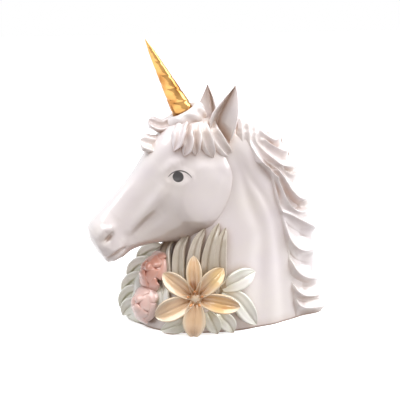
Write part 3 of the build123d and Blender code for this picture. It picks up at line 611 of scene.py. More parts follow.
MANE_GRID = (250, 360)
left_mane = grid_piece("mane_left_carved", "pearl_glaze", MANE_GRID, mane_side(1, 0.0))
right_mane = grid_piece("mane_right_carved", "pearl_glaze", MANE_GRID, mane_side(-1, 0.03))
print("mane faces", len(left_mane.data.polygons))

# %% [markdown]
# Short locks lie on the head itself. Each is a strip whose table gives places on the head's skin: a share
# along the face, a turn from the top, and how high it lies, as a share of the head's length.


# %% Locks laid on the head
LOCK_GRID = (40, 56)
LOCK_RIPPLE = 0.06


def make_locks(node_name, rows_list, width, depth, mirror=1):
    """One piece for each lock of a table, in place of the CAD node of the same name."""
    for number, rows in enumerate(rows_list, 1):
        points, faces = laid(head_raw, HEAD_LENGTH, rows)
        place = strip(points, faces, width, depth, LOCK_SECTION, LOCK_TAPER, mirror, LOCK_RIPPLE)
        node = f"{node_name}_{number}"
        pieces[node] = grid_piece(f"{node}_lock", "pearl_glaze", LOCK_GRID, place)


print("lock grids", LOCK_GRID)

# %% [markdown]
# The fringe hangs from the ring of hair round the horn, in narrow locks that part over the brow, and two
# longer locks of the forelock are blown forward with their tips turned up.

# %% Fringe and forelock
FRINGE_LEFT = [
    [(0.20, 24, 0.010), (0.25, 35, 0.016), (0.29, 44, 0.014), (0.34, 49, 0.002)],
    [(0.185, 34, 0.010), (0.235, 47, 0.018), (0.26, 57, 0.016), (0.305, 63, 0.002)],
    [(0.15, 38, 0.010), (0.19, 52, 0.018), (0.22, 62, 0.016), (0.245, 72, 0.002)],
    [(0.115, 42, 0.010), (0.14, 58, 0.018), (0.155, 72, 0.016), (0.155, 87, 0.002)],
    [(0.065, 38, 0.010), (0.09, 64, 0.018), (0.085, 82, 0.016), (0.05, 104, 0.004)],
]
FRINGE_RIGHT = [
    [(0.19, -22, 0.010), (0.23, -34, 0.018), (0.27, -48, 0.016), (0.30, -60, 0.002)],
    [(0.14, -34, 0.010), (0.17, -50, 0.018), (0.19, -64, 0.016), (0.20, -78, 0.002)],
    [(0.08, -44, 0.010), (0.10, -62, 0.018), (0.11, -78, 0.016), (0.09, -94, 0.004)],
]
FORELOCK_DEPTH = 3.2
FORELOCK = [
    ([(15, 1, 33), (22, 0, 34.5), (29, -1, 35), (34.6, -2, 41.5)], 8.5, (0.1, 0.9, 0.5)),
    ([(19, 6, 29), (28, 5, 26.5), (37, 3, 27.5), (44.8, 1, 34.5)], 12, (-0.2, 1.0, 0.25)),
]
FORELOCK_TAPER = [
    (0.0, 0.55, 0.4), (0.3, 0.9, 0.9), (0.6, 1.0, 1.0), (0.82, 0.95, 1.0), (0.95, 0.75, 0.7),
    (1.0, 0.3, 0.2),
]
make_locks("fringe_left", FRINGE_LEFT, 8.4, 2.7)
make_locks("fringe_right", FRINGE_RIGHT, 11, 2.8, -1)
for number, (rows, width, face) in enumerate(FORELOCK, 1):
    line = np.array([head_spots(*row) for row in np.array(rows, float)])
    direction = unit(face[0] * ALONG_AXIS + face[1] * SIDE_AXIS + face[2] * RISE_AXIS)
    faces = np.repeat(direction[None], len(line), axis=0)
    place = strip(line, faces, width, FORELOCK_DEPTH, LOCK_SECTION, FORELOCK_TAPER)
    node = f"forelock_{number}"
    pieces[node] = grid_piece(f"{node}_lock", "pearl_glaze", LOCK_GRID, place)
print("pieces so far", len(pieces))

# %% [markdown]
# The horn is a cone with a shallow spiral, set square on the brow in a low ring of swept hair. A spiral
# is a swell in the radius that turns as it climbs, so one grid round the cone makes both.

# %% Horn and its ring of hair
HORN_LENGTH = 45
HORN_BASE = 12.4
HORN_TIP = 1.6
HORN_TURNS = 2.6
HORN_ALONG = 0.15
HORN_SUNK = 0.06
GROOVE_SHARE = 0.05
MOUND_HEIGHT = 5
MOUND_LENGTH = 24
MOUND_WIDTH = 21
horn_rise = smooth_rows(HEAD_ROWS, np.array([HORN_ALONG]))[0, 1] * HEAD_DEPTH + MOUND_HEIGHT


def place_horn(around, along):
    """A spiral cone with a rounded tip, sunk a little way into the ring of hair."""
    climb = along * (1 + HORN_SUNK) - HORN_SUNK
    radius = (HORN_BASE + (HORN_TIP - HORN_BASE) * np.clip(climb, 0, 1)) / 2
    radius = radius * np.sqrt(np.clip((1.0 - climb) * 40 * HORN_TIP / HORN_BASE, 0, 1))
    angle = around * 2 * np.pi
    phase = (angle / (2 * np.pi) * 2 + climb * HORN_TURNS * 2) % 1
    groove = np.abs(phase - 0.5) * 2
    radius = radius * (1.0 - GROOVE_SHARE * soft_step(0.62, 1.0, groove))
    forward = HORN_ALONG * HEAD_LENGTH + np.cos(angle) * radius
    return head_spots(forward, np.sin(angle) * radius, horn_rise + climb * HORN_LENGTH)


MOUND_ROWS = [
    (0.0, -11.0, 0.94), (0.45, -6.0, 1.0), (0.62, -3.8, 0.97), (0.78, -2.0, 0.84), (0.9, -1.4, 0.68),
    (1.0, -2.2, 0.48),
]
FLUTES = 9
FLUTE_SHARE = 0.045


def place_mound(around, along):
    """A ring of hair with shallow swept flutes."""
    rise, full = smooth_rows(MOUND_ROWS, along).T
    angle = around * 2 * np.pi
    flute = 1 + FLUTE_SHARE * np.sin(angle * FLUTES + rise * 0.35) * soft_step(1.0, 0.7, along)
    forward = HORN_ALONG * HEAD_LENGTH + np.cos(angle) * MOUND_LENGTH / 2 * full * flute
    sideways = np.sin(angle) * MOUND_WIDTH / 2 * full * flute
    return head_spots(forward, sideways, horn_rise + rise)


HORN_GRID = (72, 170)
MOUND_GRID = (144, 48)
pieces["horn"] = grid_piece("horn", "gold_lustre", HORN_GRID, place_horn)
pieces["forelock_mound"] = grid_piece("horn_ring_of_hair", "pearl_glaze", MOUND_GRID, place_mound)
print("horn stands", HORN_LENGTH, "mm tall")

# %% [markdown]
# An ear is a cupped leaf with a deep warm hollow. Its rim is thick and rolls round to the front.

# %% Ears
# Each ear: its side, the line of its blade in shares of the head's length, width and depth, and its facing
EARS = {
    "left": (1, [(0.055, 0.22, 0.15), (0.0, 0.30, 0.30), (-0.065, 0.33, 0.41), (-0.172, 0.31, 0.552)],
             (-0.45, -1, 0)),
    "right": (-1, [(0.05, 0.22, 0.14), (0.01, 0.30, 0.30), (-0.03, 0.32, 0.43), (-0.085, 0.31, 0.597)],
              (-0.6, -1, 0)),
}
EAR_WIDTH = 15
EAR_DEPTH = 5
EAR_GRID = (56, 60)
EAR_SECTION = [
    (0.00, -1.00, 0.85), (0.04, -0.92, 1.05), (0.09, -0.80, 0.90), (0.16, -0.66, 0.20),
    (0.22, -0.52, -0.45), (0.29, -0.30, -0.15), (0.38, 0.15, 0.12), (0.48, 0.66, 0.50),
    (0.54, 0.90, 0.75), (0.58, 1.00, 0.65), (0.68, 0.86, 0.00), (0.79, 0.00, -0.90),
    (0.86, -0.50, -1.30), (0.93, -0.92, -0.30), (1.00, -1.00, 0.85),
]
EAR_TAPER = [
    (0.0, 0.62, 0.6), (0.2, 0.88, 1.0), (0.42, 1.0, 1.1), (0.65, 0.84, 0.95), (0.85, 0.48, 0.55),
    (1.0, 0.04, 0.08),
]
EAR_FRONT_RIM = [(0.0, 1.0), (0.5, 1.0), (0.75, 0.7), (1.0, 0.4)]
for name, (side, rows, facing) in EARS.items():
    along, out, rise = np.array(rows).T * np.array([[HEAD_LENGTH], [side * HEAD_WIDTH], [HEAD_DEPTH]])
    ear_line = head_spots(along, out, rise)
    faces = np.repeat(unit(np.array(facing, float))[None], len(ear_line), axis=0)
    place = strip(ear_line, faces, EAR_WIDTH, EAR_DEPTH, EAR_SECTION, EAR_TAPER, side, 0, EAR_FRONT_RIM)
    pieces[f"ear_{name}"] = grid_piece(f"ear_{name}_cup", "pearl_glaze", EAR_GRID, place)
print("ears made")

# %% [markdown]
# Flowers stand on the chest. Each has a middle, an axis square to the neck there, and a level and an
# upright direction, so its petals are placed like the figures on a clock.


# %% Flower places
def flower_axes(height, turn, standoff):
    """The middle, outward axis, level axis and upright axis of a flower."""
    height, turn = np.array([height]), np.array([float(turn)])
    axis = skin_normals(neck_raw, height, turn)[0]
    middle = neck_raw(height, turn)[0] + axis * standoff
    level = unit(np.cross([0, 0, 1], axis))
    return middle, axis, level, np.cross(axis, level)


LILY_AXES = flower_axes(0.172, 55, 3.9)
LILY_RADIUS = 24
LILY_PETALS = [
    (93, 1.02, 9), (48, 0.98, 11), (-10, 1.08, 11), (-92, 0.94, 13), (205, 1.06, 13), (143, 0.98, 11),
]
LILY_RISES = [(0.02, -0.12), (0.3, 0.05), (0.65, 0.12), (1.0, 0.02)]
PETAL_SECTION = [
    (0.00, -1.00, 0.75), (0.05, -0.90, 1.05), (0.11, -0.74, 0.85), (0.20, -0.40, 0.36),
    (0.27, -0.10, 0.22), (0.29, 0.00, 0.05), (0.31, 0.10, 0.22), (0.38, 0.40, 0.36), (0.47, 0.74, 0.85),
    (0.53, 0.90, 1.05), (0.58, 1.00, 0.75), (0.70, 0.62, -0.05), (0.79, 0.00, -0.50),
    (0.88, -0.62, -0.05), (1.00, -1.00, 0.75),
]
PETAL_TAPER = [
    (0.0, 0.24, 0.6), (0.18, 0.55, 0.9), (0.45, 0.96, 1.0), (0.65, 1.0, 0.95), (0.85, 0.66, 0.7),
    (0.95, 0.32, 0.4), (1.0, 0.03, 0.06),
]
PETAL_DEPTH = 3.0
PETAL_GRID = (56, 44)
PETAL_LEANS = (-0.25, -0.1, 0, 0.2)
print("lily middle", LILY_AXES[0].round(1))

# %% [markdown]
# The lily has six open petals that rise from its throat and turn their tips back. Each table row gives a
# petal's direction, its length and its width. Five stamens with fat anthers stand in the middle.


# %% Lily
def clock_out(axes, degrees):
    """The direction of a petal round a flower."""
    angle = np.radians(degrees)
    return axes[2] * np.cos(angle) + axes[3] * np.sin(angle)


def lily_petal(degrees, length, width):
    """A petal in a direction round the lily."""
    middle, axis = LILY_AXES[:2]
    out = clock_out(LILY_AXES, degrees)
    reach = LILY_RADIUS * length
    line = np.array([middle + out * reach * along + axis * reach * rise for along, rise in LILY_RISES])
    faces = np.array([unit(axis + out * lean) for lean in PETAL_LEANS])
    return strip(line, faces, width, PETAL_DEPTH, PETAL_SECTION, PETAL_TAPER)


petals = [lily_petal(*row) for row in LILY_PETALS]
pieces["lily_petals"] = grid_piece("lily_petals_open", "cream_glaze", PETAL_GRID, *petals)


def round_stack(axes, rows, around_share=lambda angle: 1.0, wide=1.0):
    """A placing function for a body of rings along a flower's axis."""
    def place(around, along):
        middle, axis, level, upright = axes
        rise, radius = smooth_rows(rows, along).T
        angle = around * 2 * np.pi
        radius = radius * around_share(angle)
        return middle + rise[:, None] * axis + (radius * np.cos(angle) * wide)[:, None] * level \
            + (radius * np.sin(angle))[:, None] * upright
    return place


THROAT_GRID = (48, 32)
THROAT_ROWS = [(0.0, -8.0, 7.0), (0.4, -3.5, 5.4), (0.7, 0.2, 3.2), (0.88, 1.6, 1.8), (1.0, 2.2, 0.2)]
throat_place = round_stack(LILY_AXES, THROAT_ROWS)
pieces["lily_centre"] = grid_piece("lily_throat", "cream_glaze", THROAT_GRID, throat_place)
STAMENS = 5
STAMEN_GRID = (14, 20)
# Where a stalk stands on the throat, how far it leans out, and its length up to the anther and in all
STAMEN_FOOT = 1.2
STAMEN_LEAN = 0.55
STAMEN_LENGTHS = (0, 4, 7.6)
STAMEN_TAPER = [(0.0, 0.8, 0.8), (0.62, 0.6, 0.6), (0.72, 1.25, 1.25), (0.9, 1.3, 1.3), (1.0, 0.1, 0.1)]
STAMEN_RING = [
    (share, np.cos(-2 * np.pi * share), np.sin(-2 * np.pi * share)) for share in np.linspace(0, 1, 13)
]


def stamen(number):
    """A stalk with a fat anther at its end."""
    lean = clock_out(LILY_AXES, 20 + 360 / STAMENS * number)
    direction = unit(LILY_AXES[1] + lean * STAMEN_LEAN)
    line = np.array([LILY_AXES[0] + lean * STAMEN_FOOT + direction * length for length in STAMEN_LENGTHS])
    faces = np.repeat(unit(np.cross(direction, [0.3, 0.2, 1.0]))[None], 3, axis=0)
    return strip(line, faces, 1.1, 0.55, STAMEN_RING, STAMEN_TAPER)


stamens = [stamen(number) for number in range(STAMENS)]
pieces["lily_stamens"] = grid_piece("lily_stamens_five", "amber_glaze", STAMEN_GRID, *stamens)
print("lily made")

# %% [markdown]
# A rose is a tight heart in a few layers of domed petals with wavy rims, the outer ones wider.

# %% Roses
ROSE_SECTION = [
    (0.00, -1.00, 0.10), (0.06, -0.92, 0.55), (0.16, -0.62, 0.86), (0.30, 0.00, 1.00),
    (0.44, 0.62, 0.86), (0.54, 0.92, 0.55), (0.60, 1.00, 0.10), (0.72, 0.60, -0.35),
    (0.80, 0.00, -0.20), (0.88, -0.60, -0.35), (1.00, -1.00, 0.10),
]
ROSE_TAPER = [
    (0.0, 0.35, 0.6), (0.3, 0.75, 0.9), (0.6, 1.0, 1.0), (0.82, 0.95, 0.9), (0.95, 0.62, 0.55),
    (1.0, 0.3, 0.2),
]
ROSE_STANDOFF = 4.5
HEART_GRID = (60, 40)
ROSE_PETAL_GRID = (44, 30)
ROSE_PETAL_DOME = 4.5
ROSE_PETAL_RISES = [(0.10, 0.30), (0.45, 0.55), (0.80, 0.20), (1.02, -0.45)]
ROSE_PETAL_LEANS = (-0.3, 0.1, 0.6, 1.2)
HEART_ROWS = [(0.0, -9.0, 5.0), (0.4, -1.0, 5.4), (0.7, 3.2, 4.2), (0.88, 4.6, 2.8), (1.0, 4.9, 0.2)]
BUD_ROWS = [(0.0, -2.0, 2.6), (0.6, 1.0, 2.3), (0.85, 1.8, 1.5), (1.0, 2.0, 0.2)]
BUD_RISE = 4.0
# Each layer from the outside in: petals, reach, lift, petal width and turn
ROSE_LAYERS = [(5, 1.04, -1.5, 13.0, 0), (5, 0.80, 0.8, 10.0, 36), (3, 0.5, 2.6, 7.5, 10)]


def rose_petal(axes, degrees, wide, tall, reach, lift, width):
    """A domed petal whose rim turns outwards."""
    middle, axis, level, upright = axes
    angle = np.radians(degrees)
    out = level * np.cos(angle) * wide / 2 + upright * np.sin(angle) * tall / 2
    line = np.array([
        middle + out * reach * along + axis * (lift + ROSE_PETAL_DOME * rise)
        for along, rise in ROSE_PETAL_RISES
    ])
    faces = np.array([unit(axis + unit(out) * lean) for lean in ROSE_PETAL_LEANS])
    return strip(line, faces, width, 2.2, ROSE_SECTION, ROSE_TAPER, 1, 0.05)


def make_rose(name, slot_name, height, turn, wide, tall, start):
    """The heart and the layers of one rose."""
    axes = flower_axes(height, turn, ROSE_STANDOFF)
    heart = round_stack(axes, HEART_ROWS, lambda angle: 1 + 0.10 * np.cos(5 * angle), wide / tall)
    bud_axes = (axes[0] + axes[1] * BUD_RISE, *axes[1:])
    bud = round_stack(bud_axes, BUD_ROWS, lambda angle: 1 + 0.16 * np.cos(3 * angle + 0.6))
    pieces[f"{name}_heart"] = grid_piece(f"{name}_heart_bud", slot_name, HEART_GRID, heart, bud)
    layers = []
    for count, reach, lift, width, shift in ROSE_LAYERS:
        for number in range(count):
            degrees = start + shift + 360 / count * number
            layers.append(rose_petal(axes, degrees, wide, tall, reach, lift, width))
    pieces[f"{name}_petals"] = grid_piece(f"{name}_petals_ruffled", slot_name, ROSE_PETAL_GRID, *layers)


make_rose("rose_upper", "coral_glaze", 0.258, 8, 19, 24, 20)
make_rose("rose_lower", "pink_glaze", 0.115, 12, 18, 21, 50)
print("roses made")

# %% [markdown]
# Leaves lie between the flowers and up the throat. A leaf has a raised rim and a groove down the middle.
# Each row of a leaf is a place on the neck: height share, turn from the front, and how high it lies.

# %% Leaves
LEAF_SECTION = [
    (0.00, -1.00, 0.10), (0.06, -0.88, 0.90), (0.16, -0.55, 0.72), (0.25, -0.14, 0.40),
    (0.29, 0.00, 0.02), (0.33, 0.14, 0.40), (0.42, 0.55, 0.72), (0.52, 0.88, 0.90), (0.58, 1.00, 0.10),
    (0.68, 0.60, -0.50), (0.79, 0.00, -0.70), (0.90, -0.60, -0.50), (1.00, -1.00, 0.10),
]
LEAF_TAPER = [
    (0.0, 0.4, 0.6), (0.25, 0.85, 1.0), (0.5, 1.0, 1.0), (0.75, 0.8, 0.9), (0.92, 0.35, 0.5),
    (1.0, 0.03, 0.1),
]
BLADE_TAPER = [
    (0.0, 0.9, 0.8), (0.3, 1.0, 1.0), (0.6, 0.9, 1.0), (0.8, 0.7, 0.9), (0.93, 0.4, 0.6),
    (1.0, 0.05, 0.2),
]
LEAF_DEPTH = 1.6
LEAF_GRID = (48, 44)
FRONT_FACING = (-0.5, -0.85, 0.1)
# The blades of the throat stand upright side by side: turns at the foot, middle and tip, height of the tip
THROAT_BLADES = [
    (12, -4, -22, 0.38), (24, 10, -12, 0.42), (32, 21, 4, 0.44), (43, 35, 22, 0.46), (54, 47, 37, 0.49),
    (64, 58, 49, 0.52), (72, 67, 58, 0.50),
]
LEAVES = {
    "leaf_throat": (8.6, [
        [(0.19, foot, 0.0), (0.29, middle, 0.03), (top - 0.07, middle * 0.3 + tip * 0.7, 0.03),
         (top, tip, 0.012)]
        for foot, middle, tip, top in THROAT_BLADES
    ]),
    "leaf_side": (12, [
        [(0.215, 72, 0.01), (0.24, 79, 0.03), (0.265, 86, 0.035), (0.285, 94, 0.015)],
        [(0.20, 73, 0.01), (0.16, 83, 0.03), (0.09, 91, 0.035), (0.02, 99, 0.015)],
    ]),
    "leaf_low": (10, [
        [(0.10, 73, 0.0), (0.075, 75, 0.02), (0.045, 79, 0.03), (0.0, 83, 0.03)],
        [(0.10, 65, 0.0), (0.075, 67, 0.02), (0.04, 70, 0.03), (0.0, 73, 0.03)],
        [(0.09, 55, 0.0), (0.06, 50, 0.02), (0.03, 42, 0.03), (0.005, 33, 0.035)],
        [(0.22, 24, 0.0), (0.18, 27, 0.015), (0.13, 30, 0.025), (0.06, 34, 0.02)],
    ]),
    "leaf_front": (11, [
        [(0.36, -8, 0.0), (0.33, -14, 0.05), (0.29, -17, 0.085), (0.23, -17, 0.10)],
        [(0.28, -10, 0.0), (0.26, -14, 0.06), (0.22, -16, 0.10), (0.16, -15, 0.115)],
        [(0.21, -8, 0.0), (0.19, -12, 0.06), (0.15, -14, 0.10), (0.09, -14, 0.115)],
        [(0.15, -6, 0.0), (0.13, -10, 0.06), (0.09, -13, 0.10), (0.03, -13, 0.12)],
        [(0.10, 0, 0.0), (0.08, -4, 0.05), (0.05, -8, 0.08), (0.005, -9, 0.10)],
    ]),
    "leaf_far": (10, [
        [(0.34, -30, 0.0), (0.31, -40, 0.04), (0.26, -50, 0.04), (0.20, -58, 0.02)],
        [(0.22, -32, 0.0), (0.20, -42, 0.045), (0.16, -52, 0.045), (0.10, -60, 0.02)],
        [(0.14, -32, 0.0), (0.11, -42, 0.045), (0.075, -51, 0.045), (0.03, -58, 0.02)],
    ]),
}


PAD_TOP = 0.42
PAD_TURNS = (-50, 16)
PAD_BED = -1.5
PAD_RISE = 9.5
PAD_WAVE = 0.5


def leaf_pad(around, along):
    """The clay that the front leaves are pressed on, a soft mound on the front of the neck."""
    hill = soft_step(0, 0.35, around) * soft_step(0.96, 0.58, around) * soft_step(1.0, 0.55, along)
    turn = PAD_TURNS[0] + (PAD_TURNS[1] - PAD_TURNS[0]) * around
    rise = PAD_BED + PAD_RISE * hill + PAD_WAVE * hill * np.sin(along * 26 + around * 5)
    height = along * PAD_TOP
    return neck_raw(height, turn) + skin_normals(neck_raw, np.maximum(height, 0.005), turn) * rise[:, None]


for node, (leaf_width, rows_list) in LEAVES.items():
    places = [leaf_pad] if node == "leaf_front" else []
    for rows in rows_list:
        points, faces = laid(neck_raw, NECK_LENGTH, rows)
        if node == "leaf_front":
            faces = np.repeat(unit(np.array(FRONT_FACING))[None], len(points), axis=0)
        taper = BLADE_TAPER if node == "leaf_throat" else LEAF_TAPER
        places.append(strip(points, faces, leaf_width, LEAF_DEPTH, LEAF_SECTION, taper))
    pieces[node] = grid_piece(f"{node}_veined", "green_glaze", LEAF_GRID, *places)
print("pieces", len(pieces))

# %% [markdown]
# Every piece takes the place of its CAD node, which stays in the frame for the physics.

# %% Replacing the nodes
for node, piece in pieces.items():
    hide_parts(node)
mane_nodes = [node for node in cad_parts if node.startswith("mane")]
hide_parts(*[node for node in mane_nodes if "right" not in node])
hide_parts(*[node for node in mane_nodes if "left" not in node])
print("left as CAD:", sorted(set(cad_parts) - set(pieces) - set(mane_nodes)))

# %% [markdown]
# The glaze is white, with faint lavender, pink and cream clouds. Its hollows get a warm painted shade,
# and it has a thin clear gloss on top. Small helpers add one node at a time and link or set its inputs.


# %% Node helpers
def feed(tree, socket, value):
    """Link a socket to an input, or set the input to a value."""
    if isinstance(value, bpy.types.NodeSocket):
        tree.links.new(value, socket)
    else:
        socket.default_value = value


def set_node(tree, node, **values):
    """A node with its settings and inputs set by name."""
    for key, value in values.items():
        if hasattr(node, key):
            setattr(node, key, value)
        else:
            feed(tree, node.inputs[key.replace("_", " ")], value)
    return node


def add_node(tree, kind, *inputs, **values):
    """A new node, whose inputs are given in order or by name."""
    node = set_node(tree, tree.nodes.new("ShaderNode" + kind), **values)
    for socket, value in zip(node.inputs, inputs):
        feed(tree, socket, value)
    return node


def math_of(tree, operation, *inputs):
    """One sum on sockets or numbers."""
    return add_node(tree, "Math", *inputs, operation=operation).outputs[0]


def vector_of(tree, operation, *inputs):
    """A distance or a dot product."""
    return add_node(tree, "VectorMath", *inputs, operation=operation).outputs["Value"]


def mix_of(tree, factor, first, second):
    """A colour between two others."""
    node = add_node(tree, "Mix", data_type="RGBA", Factor=factor)
    feed(tree, node.inputs[6], first)
    feed(tree, node.inputs[7], second)
    return node.outputs[2]


def place_of(tree, kind="Object"):
    """The place on the object, or in the world."""
    return add_node(tree, "TexCoord").outputs[kind]


def share_of(tree, value, low, high, **settings):
    """0 to 1 as a value goes from low to high, or as the settings say."""
    return add_node(tree, "MapRange", **settings, Value=value, From_Min=low, From_Max=high).outputs["Result"]


def eased(tree, value, low, high):
    """The same with soft ends."""
    return share_of(tree, value, low, high, interpolation_type="SMOOTHSTEP")


def ramp_of(tree, value, stops):
    """A colour from a ramp of two stops, each a position and a colour."""
    ramp = add_node(tree, "ValToRGB", Fac=value)
    for element, (position, colour) in zip(ramp.color_ramp.elements, stops):
        element.position = position
        element.color = (*colour, 1)
    return ramp.outputs["Color"]


def noise_of(tree, scale, detail):
    """Soft noise over the object."""
    return add_node(tree, "TexNoise", Vector=place_of(tree), Scale=scale, Detail=detail).outputs["Fac"]


def new_material(name):
    """A material, its node tree and its shader."""
    material = bpy.data.materials.new(name)
    material.use_nodes = True
    return material, material.node_tree, material.node_tree.nodes["Principled BSDF"]


print("node helpers ready")

# %% [markdown]
# A mask is 1 where paint lies and 0 elsewhere. Masks come from the place on the object or from the two
# shares that each grid keeps, so the paint stays where it is from every side.

# %% Masks and paint
# Painted shade: places that ambient occlusion finds enclosed are tinted warm and dark.
SHADE_EDGES = (0.25, 0.95)
FOOT_LINE = (1.1 * MM, 0.3 * MM)


def hollow_shade_mix(tree, base, shade_colour, reach, strength):
    """The base colour, with a warm painted shade laid where the surface is hollow."""
    open_share = add_node(tree, "AmbientOcclusion", samples=6, Distance=reach).outputs["AO"]
    hollow_shaded = share_of(tree, open_share, *SHADE_EDGES, To_Min=strength, To_Max=0.0)
    return mix_of(tree, hollow_shaded, base, (*shade_colour, 1))


def share_mask(tree, name, middle, near, far):
    """0 where a grid share is near its middle value and 1 where it is far from it."""
    share = add_node(tree, "Attribute", attribute_name=name).outputs["Fac"]
    return eased(tree, math_of(tree, "ABSOLUTE", math_of(tree, "SUBTRACT", share, middle)), near, far)


def ball_mask(tree, centre, radius, soft):
    """1 within a ball round a place in millimetres, easing to 0 outside it."""
    gap = vector_of(tree, "DISTANCE", place_of(tree), Vector(centre) * MM)
    return eased(tree, gap, radius * MM, radius * soft * MM)


def foot_clay_and_shadow_mask(tree):
    """1 at the very foot, where a thin brown line stands for the bare clay and its painted contact shadow."""
    return share_of(tree, add_node(tree, "SeparateXYZ", place_of(tree)).outputs["Z"], *FOOT_LINE)


def edge_mask(tree, value, soft=0.12):
    """1 where a value in millimetres is below 0, with a narrow soft edge."""
    return eased(tree, value, soft, -soft)


def paint_over(material, mask, colour, strength=1.0):
    """Lay a colour over what the base colour is now."""
    tree = material.node_tree
    base = tree.nodes["Principled BSDF"].inputs["Base Color"]
    below = base.links[0].from_socket
    feed(tree, base, mix_of(tree, math_of(tree, "MULTIPLY", mask, strength), below, (*colour, 1)))


print("masks ready")

# %% [markdown]
# One function makes every glaze: a light and a dark tint, the colour of its painted shade in hollows, and
# the size of its clouds. At the foot only, a brown line of bare clay and painted contact shadow shows.

# %% Glazes
CLOUD_EDGES = (0.32, 0.68)
SHADE_REACH = 0.006
SHADE_STRENGTH = 0.8
COAT_ROUGHNESS = 0.06
BUMP_DISTANCE = 0.001
NOISE_DETAIL = 3.0
ORANGE_PEEL = {"scale": 260.0, "detail": 2.0}
ORANGE_PEEL_STRENGTH = 0.02
# Colour of the foot line: bare clay together with painted contact shadow.
BARE_CLAY_AND_SHADOW = (0.30, 0.17, 0.09)


def glaze(name, light, dark, hollow, cloud_scale=45.0, roughness=0.3):
    """A glossy glaze with drifting tints, a warm painted shade in its hollows, and a soft skin."""
    material, tree, shader = new_material(name)
    tint = ramp_of(tree, noise_of(tree, cloud_scale, NOISE_DETAIL), list(zip(CLOUD_EDGES, (dark, light))))
    skin = add_node(tree, "Bump", Strength=ORANGE_PEEL_STRENGTH, Distance=BUMP_DISTANCE,
                    Height=noise_of(tree, **ORANGE_PEEL))
    hollow_shaded = hollow_shade_mix(tree, tint, hollow, SHADE_REACH, SHADE_STRENGTH)
    set_node(tree, shader, Base_Color=hollow_shaded, Roughness=roughness, Coat_Weight=1.0,
             Coat_Roughness=COAT_ROUGHNESS, Normal=skin.outputs["Normal"])
    return material


# The third colour of each glaze is its painted shade in hollows.
WHITE_TINTS = ((0.88, 0.84, 0.81), (0.83, 0.78, 0.80), (0.50, 0.34, 0.24))
white = glaze("pearl_glaze", *WHITE_TINTS)
head_white = glaze("pearl_glaze_head", *WHITE_TINTS)
coral = glaze("coral_glaze", (0.70, 0.36, 0.27), (0.62, 0.28, 0.20), (0.40, 0.14, 0.09), 160.0, 0.35)
pink = glaze("pink_glaze", (0.90, 0.64, 0.57), (0.83, 0.55, 0.48), (0.54, 0.27, 0.22), 160.0, 0.35)
cream = glaze("cream_glaze", (0.86, 0.62, 0.38), (0.78, 0.54, 0.30), (0.48, 0.24, 0.10), 120.0, 0.35)
amber = glaze("amber_glaze", (0.80, 0.34, 0.08), (0.55, 0.20, 0.04), (0.26, 0.09, 0.03), 300.0)
green = glaze("green_glaze", (0.93, 0.93, 0.88), (0.84, 0.88, 0.77), (0.55, 0.53, 0.36), 110.0)
# The throat blades take a darker copy of the leaf glaze: an olive tint, with painted shade from the jaw above
# them.
throat = glaze("throat_glaze_shaded", (0.58, 0.52, 0.44), (0.48, 0.43, 0.33), (0.24, 0.16, 0.09), 110.0)
# A thin brown line at the foot is painted as bare clay and contact shadow together.
for material in (white, head_white, green):
    paint_over(material, foot_clay_and_shadow_mask(material.node_tree), BARE_CLAY_AND_SHADOW)
print("glazes made")

# %% [markdown]
# The flowers are painted by hand. The lily's petals pale towards their rims and tips, with a few soft
# spots of yellow and orange, and the roses' petals pale at their ends.

# %% Painted flowers
PETAL_MIDDLE = 0.29
PALE_CREAM = (0.78, 0.66, 0.48)
# Each spot: millimetres across and up from the lily's middle, radius, colour and strength
LILY_SPOTS = [
    (13, 12, 9.5, (0.80, 0.56, 0.22), 0.75), (15, -4, 10.5, (0.80, 0.48, 0.14), 0.75),
    (16.5, -6, 3.4, (0.72, 0.22, 0.04), 0.9), (-2.4, 8, 3.6, (0.42, 0.16, 0.04), 0.8),
    (-10, -13, 3.6, (0.66, 0.26, 0.08), 0.7),
]
SPOT_HEIGHT = 2.0
tree = cream.node_tree
paint_over(cream, share_mask(tree, "share_around", PETAL_MIDDLE, 0.12, 0.23), PALE_CREAM, 0.85)
paint_over(cream, share_mask(tree, "share_along", 0.0, 0.80, 1.0), PALE_CREAM, 0.7)
middle, axis, level, upright = LILY_AXES
for across, up, radius, colour, strength in LILY_SPOTS:
    spot = middle + level * across + upright * up + axis * SPOT_HEIGHT
    paint_over(cream, ball_mask(tree, spot, radius, 0.3), colour, strength)
for material, rim, reach in ((coral, (0.88, 0.70, 0.64), 0.62), (pink, (0.90, 0.78, 0.74), 0.5)):
    paint_over(material, share_mask(material.node_tree, "share_along", 0.0, reach, 1.0), rim, 0.7)
print("flowers painted")

# %% [markdown]
# The eyes are painted on the glaze, not modelled: a round dark iris and one curved lash line. Distances
# are taken in the head's own plane, so that the same paint falls on both sides of the head.

# %% Painted eyes
IRIS_CENTRE = (38.5, 9.6)
IRIS_RADIUS = 3.0
LASH_CENTRE = (39.5, 5.7)
LASH_RADIUS = 7.2
# The lash shows on one side of a straight line: its direction across, and its distance
LASH_CHORD = (-0.503, 0.864)
LASH_CHORD_GAP = -11.3
LASH_SWELL = 0.06
LASH_THIN = 0.14
EYE_BROWN = (0.012, 0.008, 0.007)


def head_axis(tree, axis):
    """A place's distance along one of the head's axes, in millimetres."""
    reach = vector_of(tree, "DOT_PRODUCT", place_of(tree), Vector(axis) / MM)
    return math_of(tree, "SUBTRACT", reach, float(np.dot(HEAD_ORIGIN, axis)))


def plane_gap(tree, centre):
    """The distance from a place in the head's plane."""
    gaps = [math_of(tree, "SUBTRACT", head_axis(tree, axis), middle)
            for axis, middle in zip((ALONG_AXIS, RISE_AXIS), centre)]
    return math_of(tree, "SQRT", math_of(tree, "ADD", *[math_of(tree, "MULTIPLY", gap, gap) for gap in gaps]))


